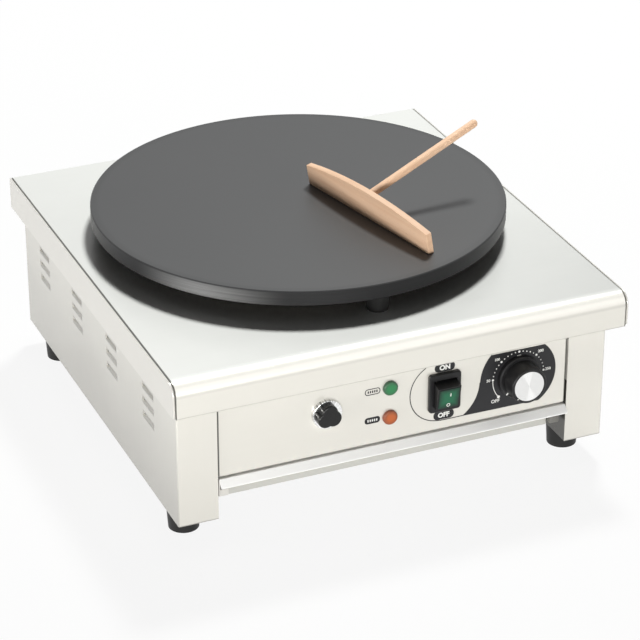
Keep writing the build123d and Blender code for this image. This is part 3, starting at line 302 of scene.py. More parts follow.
def castIron(name, low, high):
    # machined top with turning marks, turned edge with painted highlights, rough underside
    material, paint = newPaint(name)
    centre = (low + high) / 2
    fromCentre = paint.place((centre.x, centre.y, 0.0))
    x, y, z = paint.parts(fromCentre)
    radius = fromAxis(x, y)
    place = paint.place()
    wobble = paint.noise(place, *plateIron["wobble"])
    rings = (radius * plateIron["rings"] + wobble * plateIron["ringWobble"]).maths("SINE")
    cloud = paint.noise(place, *plateIron["cloud"])
    grain = paint.noise(place, *plateIron["grain"])
    streak = paint.streaks(fromCentre, *plateIron["streaks"])
    onTop = z.riseFrom(high.z, *plateIron["topFrom"])
    below = z.riseFrom(low.z, *plateIron["footFrom"])
    top = paint.blend(cloud, plateIron["worn"], plateIron["top"])
    top = paint.shaded(top, grain.between(*plateIron["grainGrey"]))
    rim = radius.riseFrom(high.x - centre.x, *plateIron["rimFrom"])
    top = paint.shaded(top, 1.0 - rim * plateIron["rimShade"])
    around = y.maths("ARCTAN2", x)
    # painted highlights: the side is lighter at fixed angles round the plate
    bright = 0.0
    for turn, share in plateIron["bright"]:
        apart = (around - math.radians(turn)).maths("WRAP", math.pi, -math.pi)
        bright = abs(apart).rise(plateIron["highlightSpan"], 0.0) * share + bright
    bright = (bright * streak.between(*plateIron["highlightGrey"])).clamped()
    side = paint.blend(bright, plateIron["side"], plateIron["sideHighlight"])
    side = paint.shaded(side, streak.between(*plateIron["streakGrey"]))
    # painted shade: a dark line just under the rim
    drop, reach, strength = plateIron["rimLine"]
    colour = paint.blend(onTop, side, top)
    colour = paint.blend(z.bell(high.z - drop, reach) * strength, colour, plateIron["underside"])
    colour = paint.blend(below, colour, plateIron["underside"])
    metal = onTop.between(plateIron["sideMetal"], plateIron["topMetal"])
    sideRough = streak.swing(plateIron["streakRough"]) + plateIron["sideRough"]
    topRough = cloud.swing(plateIron["cloudRough"]) + grain.swing(plateIron["grainRough"])
    roughness = onTop.between(sideRough, topRough + plateIron["topRough"])
    paint.set(colour=colour, metal=metal, rough=roughness.clamped(), gloss=plateIron["gloss"])
    grainHeight, ringHeight, streakHeight = plateIron["heights"]
    height = grain * grainHeight + rings * onTop * ringHeight + streak * (1.0 - onTop) * streakHeight
    paint.set(normal=paint.bump(height, plateIron["depth"], plateIron["bumpStrength"]))
    return material


moulding = {
    "pores": (2.0, 0.5),     # detail and roughness of the grain
    "rubbed": (60.0, 4.0, 0.6),
    "worn": (1.5, 0.006),    # the worn colour is this times the colour, and a little more
    "wearFrom": 0.45,        # the value of the rubbed noise at which wear starts
    "wearGrowth": 1.4,
    "rubbedRough": 0.18,
    "poreRough": 0.12,
}


def plastic(name, colour, rough, grain, depth, gloss, wear):
    # moulded plastic, rubber or paint with fine grain and light wear
    material, paint = newPaint(name)
    place = paint.place()
    pores = paint.noise(place, grain, *moulding["pores"])
    rubbed = paint.noise(place, *moulding["rubbed"])
    factor, more = moulding["worn"]
    worn = tuple(min(1.0, channel * factor + more) for channel in colour)
    wearing = ((rubbed - moulding["wearFrom"]) * (moulding["wearGrowth"] * wear)).clamped()
    roughness = rubbed.swing(moulding["rubbedRough"]) + pores.swing(moulding["poreRough"]) + rough
    paint.set(colour=paint.blend(wearing, colour, worn), rough=roughness.clamped())
    paint.set(gloss=gloss, normal=paint.bump(pores, depth))
    return material


tinted = {
    "facets": (300.0, 2.0, 0.5),
    "glow": 1.8,             # how fast the painted glow brightens towards a lens's middle
    "facetGlow": 0.5,        # and how much its facets change that
    "rough": 0.3,
    "facetRough": 0.1,
    "gloss": 0.4,
    "facetDepth": 0.00004,
}


def lens(name, node, deep, bright, reach, square):
    # a tinted lens with a painted glow, brighter in the middle, where its lamp sits
    material, paint = newPaint(name)
    low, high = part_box(node)
    place = paint.place(tuple((low + high) / 2))
    x, y, z = paint.parts(place)
    if square:
        far = abs(x / reach).maths("MAXIMUM", abs(z / reach))
    else:
        far = fromAxis(x, z) / reach
    facets = paint.noise(place, *tinted["facets"])
    glow = ((1.0 - far) * tinted["glow"] + facets.swing(tinted["facetGlow"])).clamped()
    roughness = facets.swing(tinted["facetRough"]) + tinted["rough"]
    paint.set(colour=paint.blend(glow, deep, bright), rough=roughness.clamped())
    paint.set(gloss=tinted["gloss"], normal=paint.bump(facets, tinted["facetDepth"]))
    return material


almostNone = 0.01 * mm       # keeps a division by the radius safe in the middle

knobCap = {
    "dull": (0.86, 0.86, 0.85),
    "bright": (1.0, 1.0, 0.99),
    "metal": 0.9,
    "rough": 0.24,
    "marks": 5200.0,         # scale of the turning marks, per metre of radius
    "markNoise": (1.0, 3.0, 0.7),     # on top of that scale
    "light": (-0.17, 0.985),          # X and Z of the way that the painted wedge of light points
    # where the painted highlight starts and where it is full
    "wedge": (0.78, 0.99),
    "markGrey": (0.9, 1.04),
    "markRough": 0.15,
    "markDepth": 0.00002,
}


def spunMetal(name, centre):
    # turning marks round an axis along Y, with a painted highlight: a wedge of light painted into the
    # colour
    material, paint = newPaint(name)
    x, y, z = paint.parts(paint.place((centre.x, 0.0, centre.z)))
    radius = fromAxis(x, z) + almostNone
    marks = paint.noise(paint.join(radius * knobCap["marks"], 0.0, 0.0), *knobCap["markNoise"])
    lightX, lightZ = knobCap["light"]
    lean = (z * lightZ + x * lightX) / radius
    # painted highlight: brighter colour in a wedge about a fixed way
    colour = paint.blend((lean * lean).rise(*knobCap["wedge"]), knobCap["dull"], knobCap["bright"])
    colour = paint.shaded(colour, marks.between(*knobCap["markGrey"]))
    roughness = marks.swing(knobCap["markRough"]) + knobCap["rough"]
    paint.set(colour=colour, metal=knobCap["metal"], rough=roughness.clamped())
    paint.set(normal=paint.bump(marks, knobCap["markDepth"]))
    return material


resetRing = {
    "dark": (0.10, 0.10, 0.095),
    "bright": (0.96, 0.96, 0.95),
    "metal": 1.0,
    "rough": 0.16,
    "round": 11.0,           # scale of the ribs round the ring
    "deep": 60.0,            # and along its axis, per metre
    "ribNoise": (1.0, 2.0, 0.5),      # on top of those scales
    "groove": (0.62, 0.40),  # the noise at the brim of a groove and at its bottom
    "deepest": (-0.6, 0.8),  # X and Z of the way towards which the grooves are painted darker, as painted shade
    "lean": (0.1, 0.9),      # how far a place lies that way: no painted shade up to, full from
    "shade": (0.15, 0.80),   # of the grooves where the painted shade is least and where it is full
    "ribRough": 0.2,
    "ribDepth": 0.00002,
}


def knurledRing(name, node):
    # fine ribs round an axis along Y, their grooves painted darker towards one side as painted shade
    material, paint = newPaint(name)
    low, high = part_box(node)
    x, y, z = paint.parts(paint.place(tuple((low + high) / 2)))
    radius = fromAxis(x, z) + almostNone
    about = [side / radius * resetRing["round"] for side in (x, z)]
    ribs = paint.noise(paint.join(about[0], y * resetRing["deep"], about[1]), *resetRing["ribNoise"])
    shadeX, shadeZ = resetRing["deepest"]
    lean = ((z * shadeZ + x * shadeX) / radius).rise(*resetRing["lean"])
    shade = ribs.rise(*resetRing["groove"]) * lean.between(*resetRing["shade"])
    colour = paint.blend(shade, resetRing["bright"], resetRing["dark"])
    roughness = ribs.swing(resetRing["ribRough"]) + resetRing["rough"]
    paint.set(colour=colour, metal=resetRing["metal"], rough=roughness.clamped())
    paint.set(normal=paint.bump(ribs, resetRing["ribDepth"]))
    return material


beech = {
    "pale": (0.985, 0.675, 0.465),
    "dark": (0.925, 0.600, 0.395),
    "fleck": (0.470, 0.260, 0.150),
    "rough": 0.55,
    "gloss": 0.3,
    "turn": -77.6,           # of the blade's grain in plan, degrees; the handle's is square to it
    "handleShade": 1.05,
    "warp": (14.0, 2.0, 0.5),
    "figure": ((9.0, 240.0, 240.0), 4.0, 0.55),       # scales along the grain and across it
    "pores": ((90.0, 1500.0, 1500.0), 2.0, 0.6),
    "rays": ((320.0, 1900.0, 1100.0), 1.0, 0.5),
    "figureTone": 0.8,       # what figure and warp add to the tone
    "warpTone": 0.3,
    "tone": (0.40, 0.78),    # pale up to the first, dark from the second
    "rayEdge": (0.66, 0.76),
    "rayTone": 0.3,          # strength of the flecks
    "figureRough": 0.2,
    "figureDepth": 0.5,      # against that of the pores
    "depth": 0.00005,
}


def beechWood(name, turn, shade):
    # turn is the angle of the grain in plan, from +X
    material, paint = newPaint(name)
    laid = paint.stretch(paint.place(), (1.0, 1.0, 1.0), -turn)
    warp = paint.noise(laid, *beech["warp"])
    figure = paint.streaks(laid, *beech["figure"])
    pores = paint.streaks(laid, *beech["pores"])
    rays = paint.streaks(laid, *beech["rays"])
    pale = tuple(channel * shade for channel in beech["pale"])
    dark = tuple(channel * shade for channel in beech["dark"])
    tone = (figure * beech["figureTone"] + warp * beech["warpTone"]).rise(*beech["tone"])
    colour = paint.blend(tone, pale, dark)
    colour = paint.blend(rays.rise(*beech["rayEdge"]) * beech["rayTone"], colour, beech["fleck"])
    roughness = figure.swing(beech["figureRough"]) + beech["rough"]
    paint.set(colour=colour, rough=roughness.clamped(), gloss=beech["gloss"])
    paint.set(normal=paint.bump(pores + figure * beech["figureDepth"], beech["depth"]))
    return material


view = {
    "eye": (-0.9023, -2.1422, 1.3166),
    "azimuth": 23.18,
    "elevation": 27.86,
    "lens": 151.06,
    "sensor": 36.0,
    "clipEnd": 60.0,
}

studio = {
    "middle": (0.0, 0.0, 0.15),       # where the lamps point
    "world": ((1.0, 0.995, 0.985), 0.045),    # colour and strength of the light from all round
    "plain": ((1.0, 1.0, 1.0), 1.0),          # and of what the eye sees in its place
    "key": {"towards": (0.290, 0.385, 0.876), "away": 3.4, "size": (0.54, 0.54), "power": 112.0,
            "colour": (0.985, 1.0, 0.985)},
    "front": {"towards": (-0.32, -0.95, -0.022), "away": 2.6, "size": (2.0, 0.18), "power": 41.5,
              "colour": (1.0, 0.99, 0.955)},
    "left": {"towards": (-0.97, -0.20, -0.022), "away": 2.6, "size": (1.4, 0.18), "power": 22.3,
             "colour": (1.0, 0.99, 0.975)},
}

ground = {
    "half": 14.0,
    "colour": (0.96, 0.96, 0.96),
    "rough": 0.9,
    "cloth": (3.0, 2.0, 0.5),
    "clothGrey": (0.995, 1.005),
    "white": 0.90,           # share of plain white in what is seen of the floor
    "fade": (0.6, 1.5),      # it grows to 1 between these distances
}


def aimed(name, data, place, ahead):
    holder = bpy.data.objects.new(name, data)
    bpy.context.scene.collection.objects.link(holder)
    holder.location = place
    holder.rotation_mode = "QUATERNION"
    holder.rotation_quaternion = Vector(ahead).to_track_quat("-Z", "Y")
    return holder


def setCamera():
    camera = bpy.data.cameras.new("camera")
    camera.lens = view["lens"]
    camera.sensor_width = view["sensor"]
    camera.clip_end = view["clipEnd"]
    azimuth, elevation = math.radians(view["azimuth"]), math.radians(view["elevation"])
    flat = math.cos(elevation)
    ahead = (math.sin(azimuth) * flat, math.cos(azimuth) * flat, -math.sin(elevation))
    bpy.context.scene.camera = aimed("camera", camera, view["eye"], ahead)


def setLamp(name):
    facts = studio[name]
    lamp = bpy.data.lights.new(name + "Lamp", "AREA")
    lamp.shape = "RECTANGLE"
    lamp.size, lamp.size_y = facts["size"]
    lamp.energy = facts["power"]
    lamp.color = facts["colour"]
    towards = Vector(facts["towards"]).normalized()
    holder = aimed(name + "Lamp", lamp, Vector(studio["middle"]) + towards * facts["away"], -towards)
    holder.visible_camera = False


def directlySeen(paint):
    # 1 for rays from the eye, off a polished surface or through glass
    rays = ("Is Camera Ray", "Is Glossy Ray", "Is Transmission Ray")
    camera, glossy, through = paint.node("ShaderNodeLightPath", {}, output=rays)
    return camera.maths("MAXIMUM", glossy).maths("MAXIMUM", through)


def setWorld():
    world = bpy.data.worlds.new("studio")
    bpy.context.scene.world = world
    world.use_nodes = True
    world.node_tree.nodes.clear()
    paint = Paint(world.node_tree)
    dim = paint.node("ShaderNodeBackground", {}, studio["world"])
    plain = paint.node("ShaderNodeBackground", {}, studio["plain"])
    seen = paint.node("ShaderNodeMixShader", {}, [directlySeen(paint), dim, plain])
    paint.node("ShaderNodeOutputWorld", {}, [seen], ())


def setFloor():
    half = ground["half"]
    corners = [(-half, -half, 0), (half, -half, 0), (half, half, 0), (-half, half, 0)]
    mesh = bpy.data.meshes.new("floor")
    mesh.from_pydata(corners, [], [(0, 1, 2, 3)])
    material, paint = newPaint("floorWhite")
    place = paint.place()
    cloth = paint.noise(place, *ground["cloth"])
    paint.set(colour=paint.shaded(ground["colour"], cloth.between(*ground["clothGrey"])))
    paint.set(rough=ground["rough"], gloss=0.0)
    plain = paint.node("ShaderNodeEmission", {}, studio["plain"])
    lit = Term(paint, paint.shader.outputs[0])
    x, y, z = paint.parts(place)
    share = fromAxis(x, y).rise(*ground["fade"]).between(ground["white"], 1.0)
    mixed = paint.node("ShaderNodeMixShader", {}, [directlySeen(paint) * share, lit, plain])
    paint.feed(paint.tree.nodes["Material Output"].inputs["Surface"], mixed)
    mesh.materials.append(material)
    floor = bpy.data.objects.new("floor", mesh)
    bpy.context.scene.collection.objects.link(floor)


setCamera()
setWorld()
for lampName in ("key", "front", "left"):
    setLamp(lampName)
setFloor()
bpy.context.scene.view_settings.view_transform = "Standard"
print("camera, lamps and floor set")


knobLow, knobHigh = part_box("knob")
coverLow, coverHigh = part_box("top_cover")
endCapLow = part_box("right_end_cap")[0]
sideLow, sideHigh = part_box("right_side_panel")
panelLow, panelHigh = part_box("control_panel")

# pairs whose names end in From are measured from a sheet's edge or face: where a tone starts and where
# it is full

seam = {
    "colour": (0.15, 0.147, 0.135),   # dark line where two sheets meet
    "soft": 0.5 * mm,        # softness of its edge
    "width": 0.6 * mm,       # how wide it is painted
    "panelWidth": 1.0 * mm,  # and on the control panel's left edge
}

cover = {
    "bend": 12.0 * mm,       # radius of the front bend
    "bendEnd": 1.5 * mm,     # the bend's tones fade out over this much beyond it
    "flatFrom": (-0.6 * mm, -0.1 * mm),
    "tint": (1.055, 1.083, 1.125),    # of the flat top, painted lighter than the front as painted light
    "lessMetal": 0.26,       # how much less metallic the flat top looks than the bend
    "gloss": 0.22,
    "slope": 0.19,           # painted shade: how much darker the top gets per metre towards +X
    "twist": 2.9,            # painted light and shade: front left lighter and front right darker, per square metre
    "twistEnd": 0.05,        # the Y beyond which it grows no more
    "leftSeam": 0.8,         # strength of the left joint on the flat top
    "rightSeam": 0.4,
    "hem": 0.35,             # strength of the line along the lower edge
    "hemFrom": (1.0 * mm, 0.4 * mm),
    "polish": (5.6 * mm, 6.4 * mm, 0.50, 0.23),       # painted highlight band on the bend: drop, reach, more metal, share lighter
    "lead": (6.0 * mm, 0.5 * mm, 0.14),       # painted highlight on the flat top before the bend: from, to, share lighter
    "dips": ((3.2 * mm, 1.5 * mm, 0.05), (11.0 * mm, 2.8 * mm, 0.12)),        # painted shade bands in the bend: drop, reach, share darker
}


def coverDetail(paint, colour, metal, x, y, z):
    # painted light: a lighter flat top, painted highlights and shade over the bend; dark joints at both
    # ends
    bendEdge = coverLow.y + cover["bend"]
    onTop = z.riseFrom(coverHigh.z, *cover["flatFrom"])
    inFront = y.riseFrom(bendEdge, cover["bendEnd"], 0.0)
    colour = paint.blend(onTop, colour, cover["tint"], "MULTIPLY")
    twist = x * y.maths("MINIMUM", cover["twistEnd"]) * cover["twist"]
    colour = paint.shaded(colour, (twist - x * cover["slope"]) * onTop + 1.0)
    # painted shade and painted highlights over the bend
    for drop, reach, share in cover["dips"]:
        colour = paint.shaded(colour, 1.0 - z.bell(coverHigh.z - drop, reach) * inFront * share)
    drop, reach, moreMetal, lighter = cover["polish"]
    bright = z.bell(coverHigh.z - drop, reach) * inFront
    start, end, glow = cover["lead"]
    lead = y.riseFrom(bendEdge, start, end) * onTop
    colour = paint.shaded(colour, bright * lighter + lead * glow + 1.0)
    joint = abs(x).riseFrom(coverHigh.x - seam["width"], -seam["soft"], 0.0)
    onRight = x.rise(0.0, mm)
    fade = onRight.between(1.0 - cover["leftSeam"], 1.0 - cover["rightSeam"])
    hem = z.riseFrom(coverLow.z, *cover["hemFrom"]) * cover["hem"]
    lines = (joint * (1.0 - onTop * fade)).maths("MAXIMUM", hem)
    paint.set(gloss=cover["gloss"])
    metal = (bright * moreMetal - onTop * cover["lessMetal"] + metal).clamped()
    return paint.blend(lines, colour, seam["colour"]), metal


endCap = {
    "joint": 0.7,            # strength of the joint with the cover
    "footFrom": (0.0, 2.0 * mm),
    "topFrom": (-1.0 * mm, 0.0),
    "frontFrom": (2.0 * mm, 0.0),
}


def capDetail(paint, colour, metal, x, y, z):
    # the joint with the cover shows above and in front
    joint = abs(x).riseFrom(endCapLow.x + seam["width"], seam["soft"], 0.0)
    joint = joint * z.riseFrom(endCapLow.z, *endCap["footFrom"])
    outside = z.riseFrom(sideHigh.z, *endCap["topFrom"]) + y.riseFrom(coverLow.y, *endCap["frontFrom"])
    return paint.blend(joint * outside.clamped() * endCap["joint"], colour, seam["colour"]), metal


def panelDetail(paint, colour, metal, x, y, z):
    # dark joints down both ends
    left = x.riseFrom(panelLow.x + seam["panelWidth"], seam["soft"], 0.0)
    right = x.riseFrom(panelHigh.x - seam["soft"], -seam["soft"], 0.0)
    return paint.blend((left + right).clamped(), colour, seam["colour"]), metal


leg = {
    "outerFrom": (-1.4 * mm, -0.4 * mm),
    "tone": (0.70, 0.93),    # painted shade: at the foot and at the top
    "drift": 0.14,           # how much that tone wanders
    "driftNoise": (7.0, 1.0, 0.4),
    "driftHeight": 1.6,      # its scale upwards against that along
    "skin": 0.8 * mm,        # outer faces lie within this of a side panel's box
    "inside": (0.075, 0.073, 0.065),  # inner faces of the front legs, painted dark as shade
    # the same painted shade on the rear legs' inner faces, lighter
    "rearInnerShade": (0.30, 0.295, 0.275),
    "rearY": (-0.16, -0.14),          # where those of the rear take over
    "foot": 0.5,             # strength of the line along the foot
    "footFrom": (1.2 * mm, 0.6 * mm),
    "frontFrom": (0.6 * mm, 0.1 * mm),
}

vents = {
    "middle": (10.4 * mm, 112.5 * mm),        # of the pattern, along Y and Z
    "pitch": (100.0 * mm, 15.0 * mm),
    "rows": 3,
    "rowsEnd": 1.0 * mm,     # the pattern fades out over this much, above and below
    "halfLength": 14.75 * mm,
    "soft": 1.6 * mm,        # how softly the painted shade round a vent fades out at its ends
    "full": 2.9 * mm,        # the shade is full to here from a vent's middle
    "reach": 5.2 * mm,       # and gone here
    "shade": 0.30,
    "blade": (0.80, 0.785, 0.74),
    "bladeFrom": (-0.1 * mm, -0.25 * mm),     # from the outer face
    "bladeShade": (0.1, 0.3),         # the shade at which a blade starts and is full
}


def sideDetail(paint, colour, metal, x, y, z):
    # painted shade: darker towards the foot, soft shade round each vent, dark inner faces
    across = abs(x)
    drift = paint.noise(paint.join(x, y, z * leg["driftHeight"]), *leg["driftNoise"])
    # painted shade: darker towards the foot, with a random drift
    tone = z.rise(sideLow.z, sideHigh.z).between(*leg["tone"]) + drift.swing(leg["drift"])
    colour = paint.shaded(colour, across.riseFrom(sideHigh.x, *leg["outerFrom"]).between(1.0, tone))
    midY, midZ = vents["middle"]
    halfY, halfZ = [pitch / 2 for pitch in vents["pitch"]]
    along = abs((y - (midY + halfY)).maths("WRAP", halfY, -halfY))
    height = abs((z - midZ).maths("WRAP", halfZ, -halfZ))
    rows = abs(z - midZ).riseFrom(vents["rows"] * halfZ, 0.0, -vents["rowsEnd"])
    ventShade = along.riseFrom(vents["halfLength"], vents["soft"], -vents["soft"])
    ventShade = ventShade * height.rise(vents["reach"], vents["full"]) * rows
    # painted shade round each vent
    colour = paint.shaded(colour, 1.0 - ventShade * vents["shade"])
    blade = across.riseFrom(sideHigh.x, *vents["bladeFrom"]) * ventShade.rise(*vents["bladeShade"])
    colour = paint.blend(blade, colour, vents["blade"])
    footLine = z.riseFrom(sideLow.z, *leg["footFrom"]) * y.riseFrom(sideLow.y, *leg["frontFrom"])
    colour = paint.blend(footLine * leg["foot"], colour, seam["colour"])
    # painted shade: inner faces dark, lighter at the rear and in the vent rows
    inner = across.riseFrom(sideHigh.x - leg["skin"], seam["soft"], 0.0)
    inner = inner * y.riseFrom(sideLow.y + leg["skin"], -seam["soft"], 0.0)
    inner = inner * y.riseFrom(sideHigh.y - leg["skin"], seam["soft"], 0.0)
    inside = paint.blend(y.rise(*leg["rearY"]), leg["inside"], leg["rearInnerShade"])
    return paint.blend(inner, colour, paint.blend(rows, inside, vents["blade"])), metal


tray = {
    "wallTint": (0.61, 0.605, 0.575),         # painted shade on the front wall, under the lip
    "wallFrom": (4.4 * mm, 5.4 * mm),         # from the rails' front ends
}


def trayDetail(paint, colour, metal, x, y, z):
    # all that lies behind the lip is painted darker, as shade under the lip
    wall = y.riseFrom(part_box("left_tray_rail")[0].y, *tray["wallFrom"])
    return paint.blend(wall, colour, tray["wallTint"], "MULTIPLY"), metal


brushed = {                  # grain, tint, roughness, metal, detail
    "coverSteel": ("X", (1.0, 1.0, 1.0), 0.33, steel["metal"], coverDetail),
    "panelSteel": ("X", (1.0, 1.0, 1.0), steel["rough"], steel["metal"], panelDetail),
    "legSteel": ("Z", (1.0, 1.0, 1.0), steel["rough"], steel["metal"], sideDetail),
    "capSteel": ("Y", (0.97, 0.97, 0.98), steel["rough"], steel["metal"], capDetail),
    # the tray's lighter tint is painted light: it stands in for the light on its lip
    "traySteel": ("X", (1.21, 1.24, 1.32), 0.5, 0.30, trayDetail),
    "railSteel": ("Y", (0.92, 0.92, 0.94), 0.5, 0.30),
}
milled = {                   # colour, roughness, metal
    "dullSteel": ((0.24, 0.235, 0.22), 0.5, 0.5),
    "sheetSteel": ((0.66, 0.66, 0.65), 0.38, 0.8),
    # heat tint and painted shade: the shield is dark so that the shade under the plate looks deeper
    "heatTintedSteel": ((0.085, 0.075, 0.065), 0.5, 0.6),
    "zincPlate": ((0.70, 0.70, 0.68), 0.28, 0.8),
    "elementSteel": ((0.20, 0.185, 0.17), 0.42, 0.8),
    "copper": ((0.72, 0.40, 0.27), 0.32, 1.0),
    "brass": ((0.74, 0.56, 0.28), 0.30, 1.0),
}
moulded = {                  # colour, roughness, scale and depth of the grain, gloss, wear
    "supportBlack": ((0.012, 0.012, 0.012), 0.5, 700.0, 0.00004, 0.2, 1.0),
    "mineralWool": ((0.62, 0.60, 0.50), 0.95, 900.0, 0.0004, 0.5, 1.0),
    "blackRubber": ((0.012, 0.012, 0.012), 0.5, 1100.0, 0.00003, 0.3, 1.0),
    "blackPlastic": ((0.013, 0.013, 0.014), 0.34, 1600.0, 0.00002, 0.3, 1.0),
    "glossyBlack": ((0.009, 0.009, 0.009), 0.16, 500.0, 0.000004, 0.35, 0.5),
    "redPlastic": ((0.55, 0.03, 0.02), 0.25, 1600.0, 0.00002, 0.5, 1.0),
    "ceramic": ((0.78, 0.74, 0.64), 0.5, 1600.0, 0.00002, 0.5, 1.0),
    "printBlack": ((0.011, 0.011, 0.013), 0.42, 900.0, 0.000008, 0.40, 1.0),
    "printWhite": ((0.88, 0.88, 0.86), 0.5, 900.0, 0.000008, 0.5, 0.0),
}
lenses = {                   # node, colour at the rim and in the middle, reach of the painted glow, square or round
    "greenLamp": ("power_lamp_lens", (0.050, 0.120, 0.070), (0.030, 0.240, 0.085), 7.2 * mm, False),
    "orangeLamp": ("heating_lamp_lens", (0.280, 0.085, 0.045), (0.560, 0.135, 0.035), 7.2 * mm, False),
    "rockerGreen": ("rocker_lens", (0.004, 0.026, 0.015), (0.007, 0.128, 0.058), 10.4 * mm, True),
}
wooden = {                   # turn of the grain, shade
    "beechBlade": (beech["turn"], 1.0),
    "beechHandle": (beech["turn"] + 90.0, beech["handleShade"]),
}
finishes = {
    "castIron": castIron("castIron", *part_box("crepe_plate")),
    "spunCap": spunMetal("spunCap", (knobLow + knobHigh) / 2),
    "chrome": knurledRing("chrome", "reset_ring"),
}
for make, table in ((brushedSteel, brushed), (millSteel, milled), (plastic, moulded), (lens, lenses),
                    (beechWood, wooden)):
    for name, facts in table.items():
        finishes[name] = make(name, *facts)

dressed = {
    "coverSteel": ["top_cover"],
    "panelSteel": ["control_panel"],
    "legSteel": ["left_side_panel", "right_side_panel"],
    "capSteel": ["left_end_cap", "right_end_cap"],
    "traySteel": ["crumb_tray"],
    "sheetSteel": ["rear_panel", "base_pan", "element_clamp"],
    "railSteel": ["left_tray_rail"],
    "dullSteel": ["right_tray_rail"],
    "heatTintedSteel": ["heat_shield"],
    "mineralWool": ["insulation"],
    "elementSteel": ["inner_element", "outer_element"],
    "castIron": ["crepe_plate"],
    "supportBlack": ["plate_supports"],
    "copper": ["sensing_bulb", "capillary"],
    "brass": ["earth_stud", "earth_nuts"],
    "blackRubber": ["rubber_feet"],
    "spunCap": ["knob_cap"],
    "chrome": ["reset_ring"],
    "redPlastic": ["reset_button"],
    "ceramic": ["terminal_block"],
    "greenLamp": ["power_lamp_lens"],
    "orangeLamp": ["heating_lamp_lens"],
    "rockerGreen": ["rocker_lens"],
    "glossyBlack": ["reset_cap"],
    "zincPlate": ["rear_screws", "panel_screws", "foot_screws", "foot_nuts", "clamp_studs", "clamp_nuts",
                  "plate_bolts", "plate_nuts", "thermostat_screws", "thermostat_shaft"],
    "blackPlastic": ["knob", "switch_housing", "switch_rocker", "power_lamp_body", "heating_lamp_body",
                     "limiter_body", "thermostat_body", "cable_gland", "gland_locknut"],
    "beechBlade": ["spreader_blade"],
    "beechHandle": ["spreader_handle"],
}
for finish, named in dressed.items():
    for node in named:
        nodes[node].data.materials.clear()
        nodes[node].data.materials.append(finishes[finish])
print("materials on", sum(len(named) for named in dressed.values()), "nodes")


printing = {
    "curveSteps": 4,         # of the letters
    "arcSteps": 8,           # of a rounded corner
    "weld": 0.002,           # points closer than this become one, mm
}


def onCircle(centre, radius, turn):
    # turn is in degrees, from +X
    angle = math.radians(turn)
    return centre[0] + radius * math.cos(angle), centre[1] + radius * math.sin(angle)


def circle(centre, radius, start=0.0, end=360.0, steps=48):
    # points of an arc, angles in degrees; a full turn leaves out its last point
    count = steps if abs(end - start) == 360.0 else steps + 1
    return [onCircle(centre, radius, start + (end - start) * i / steps) for i in range(count)]


def roundedBox(centre, width, height, corner):
    points = []
    for turn, (sideX, sideZ) in enumerate(((1, 1), (-1, 1), (-1, -1), (1, -1))):
        middle = (centre[0] + sideX * (width / 2 - corner), centre[1] + sideZ * (height / 2 - corner))
        points += circle(middle, corner, turn * 90.0, turn * 90.0 + 90.0, printing["arcSteps"])
    return points


def band(path, width):
    # the outline of a line of some width that follows a path
    left, right = [], []
    for i, point in enumerate(path):
        before, after = Vector(path[max(i - 1, 0)]), Vector(path[min(i + 1, len(path) - 1)])
        along = (after - before).normalized()
        side = Vector((-along.y, along.x)) * width / 2
        left.append(tuple(Vector(point) + side))
        right.append(tuple(Vector(point) - side))
    return left + right[::-1]


def addShape(build, outline, height, holes=(), foot=0.0):
    # one closed flat solid in the XY plane, in millimetres, from foot upwards
    edges = []
    for loop in (outline, *holes):
        corners = [build.verts.new((x, y, foot + height)) for x, y in loop]
        edges += [build.edges.new((a, b)) for a, b in zip(corners, corners[1:] + corners[:1])]
    filled = bmesh.ops.triangle_fill(build, use_beauty=True, use_dissolve=True, edges=edges)["geom"]
    faces = [part for part in filled if isinstance(part, bmesh.types.BMFace)]
    grown = bmesh.ops.extrude_face_region(build, geom=faces)["geom"]
    moved = [part for part in grown if isinstance(part, bmesh.types.BMVert)]
    bmesh.ops.translate(build, vec=(0.0, 0.0, -height), verts=moved)


def addWords(build, words, size, centre, height, bold):
    curve = bpy.data.curves.new("words", "FONT")
    curve.body = words
    curve.size = size
    curve.align_x = "CENTER"
    curve.extrude = height / 2
    curve.offset = bold
    curve.resolution_u = printing["curveSteps"]
    holder = bpy.data.objects.new("words", curve)
    bpy.context.scene.collection.objects.link(holder)
    bpy.context.view_layer.update()
    mesh = bpy.data.meshes.new_from_object(holder.evaluated_get(bpy.context.evaluated_depsgraph_get()))
    bpy.data.objects.remove(holder)
    bpy.data.curves.remove(curve)
    spots = [vertex.co for vertex in mesh.vertices]
    middle = [(min(spot[i] for spot in spots) + max(spot[i] for spot in spots)) / 2 for i in range(2)]
    mesh.transform(Matrix.Translation((centre[0] - middle[0], centre[1] - middle[1], height / 2)))
    build.from_mesh(mesh)
    bpy.data.meshes.remove(mesh)


def layOn(name, build, place, material, body):
    # turns flat work in millimetres into a piece that lies where place puts it
    bmesh.ops.remove_doubles(build, verts=build.verts, dist=printing["weld"])
    bmesh.ops.recalc_face_normals(build, faces=build.faces)
    bmesh.ops.transform(build, matrix=place @ Matrix.Scale(mm, 4), verts=build.verts)
    mesh = bpy.data.meshes.new(name)
    build.to_mesh(mesh)
    build.free()
    mesh.materials.append(material)
    piece = bpy.data.objects.new(name, mesh)
    bpy.context.scene.collection.objects.link(piece)
    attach(piece, body)


standing = Matrix.Rotation(math.radians(90.0), 4, "X")      # X stays, Y becomes up, Z comes forward
onPanel = Matrix.Translation((0.0, panelLow.y, 0.0)) @ standing

# sizes and places from here on are in millimetres; an arc is its centre, radius, from and to in degrees,
# and steps

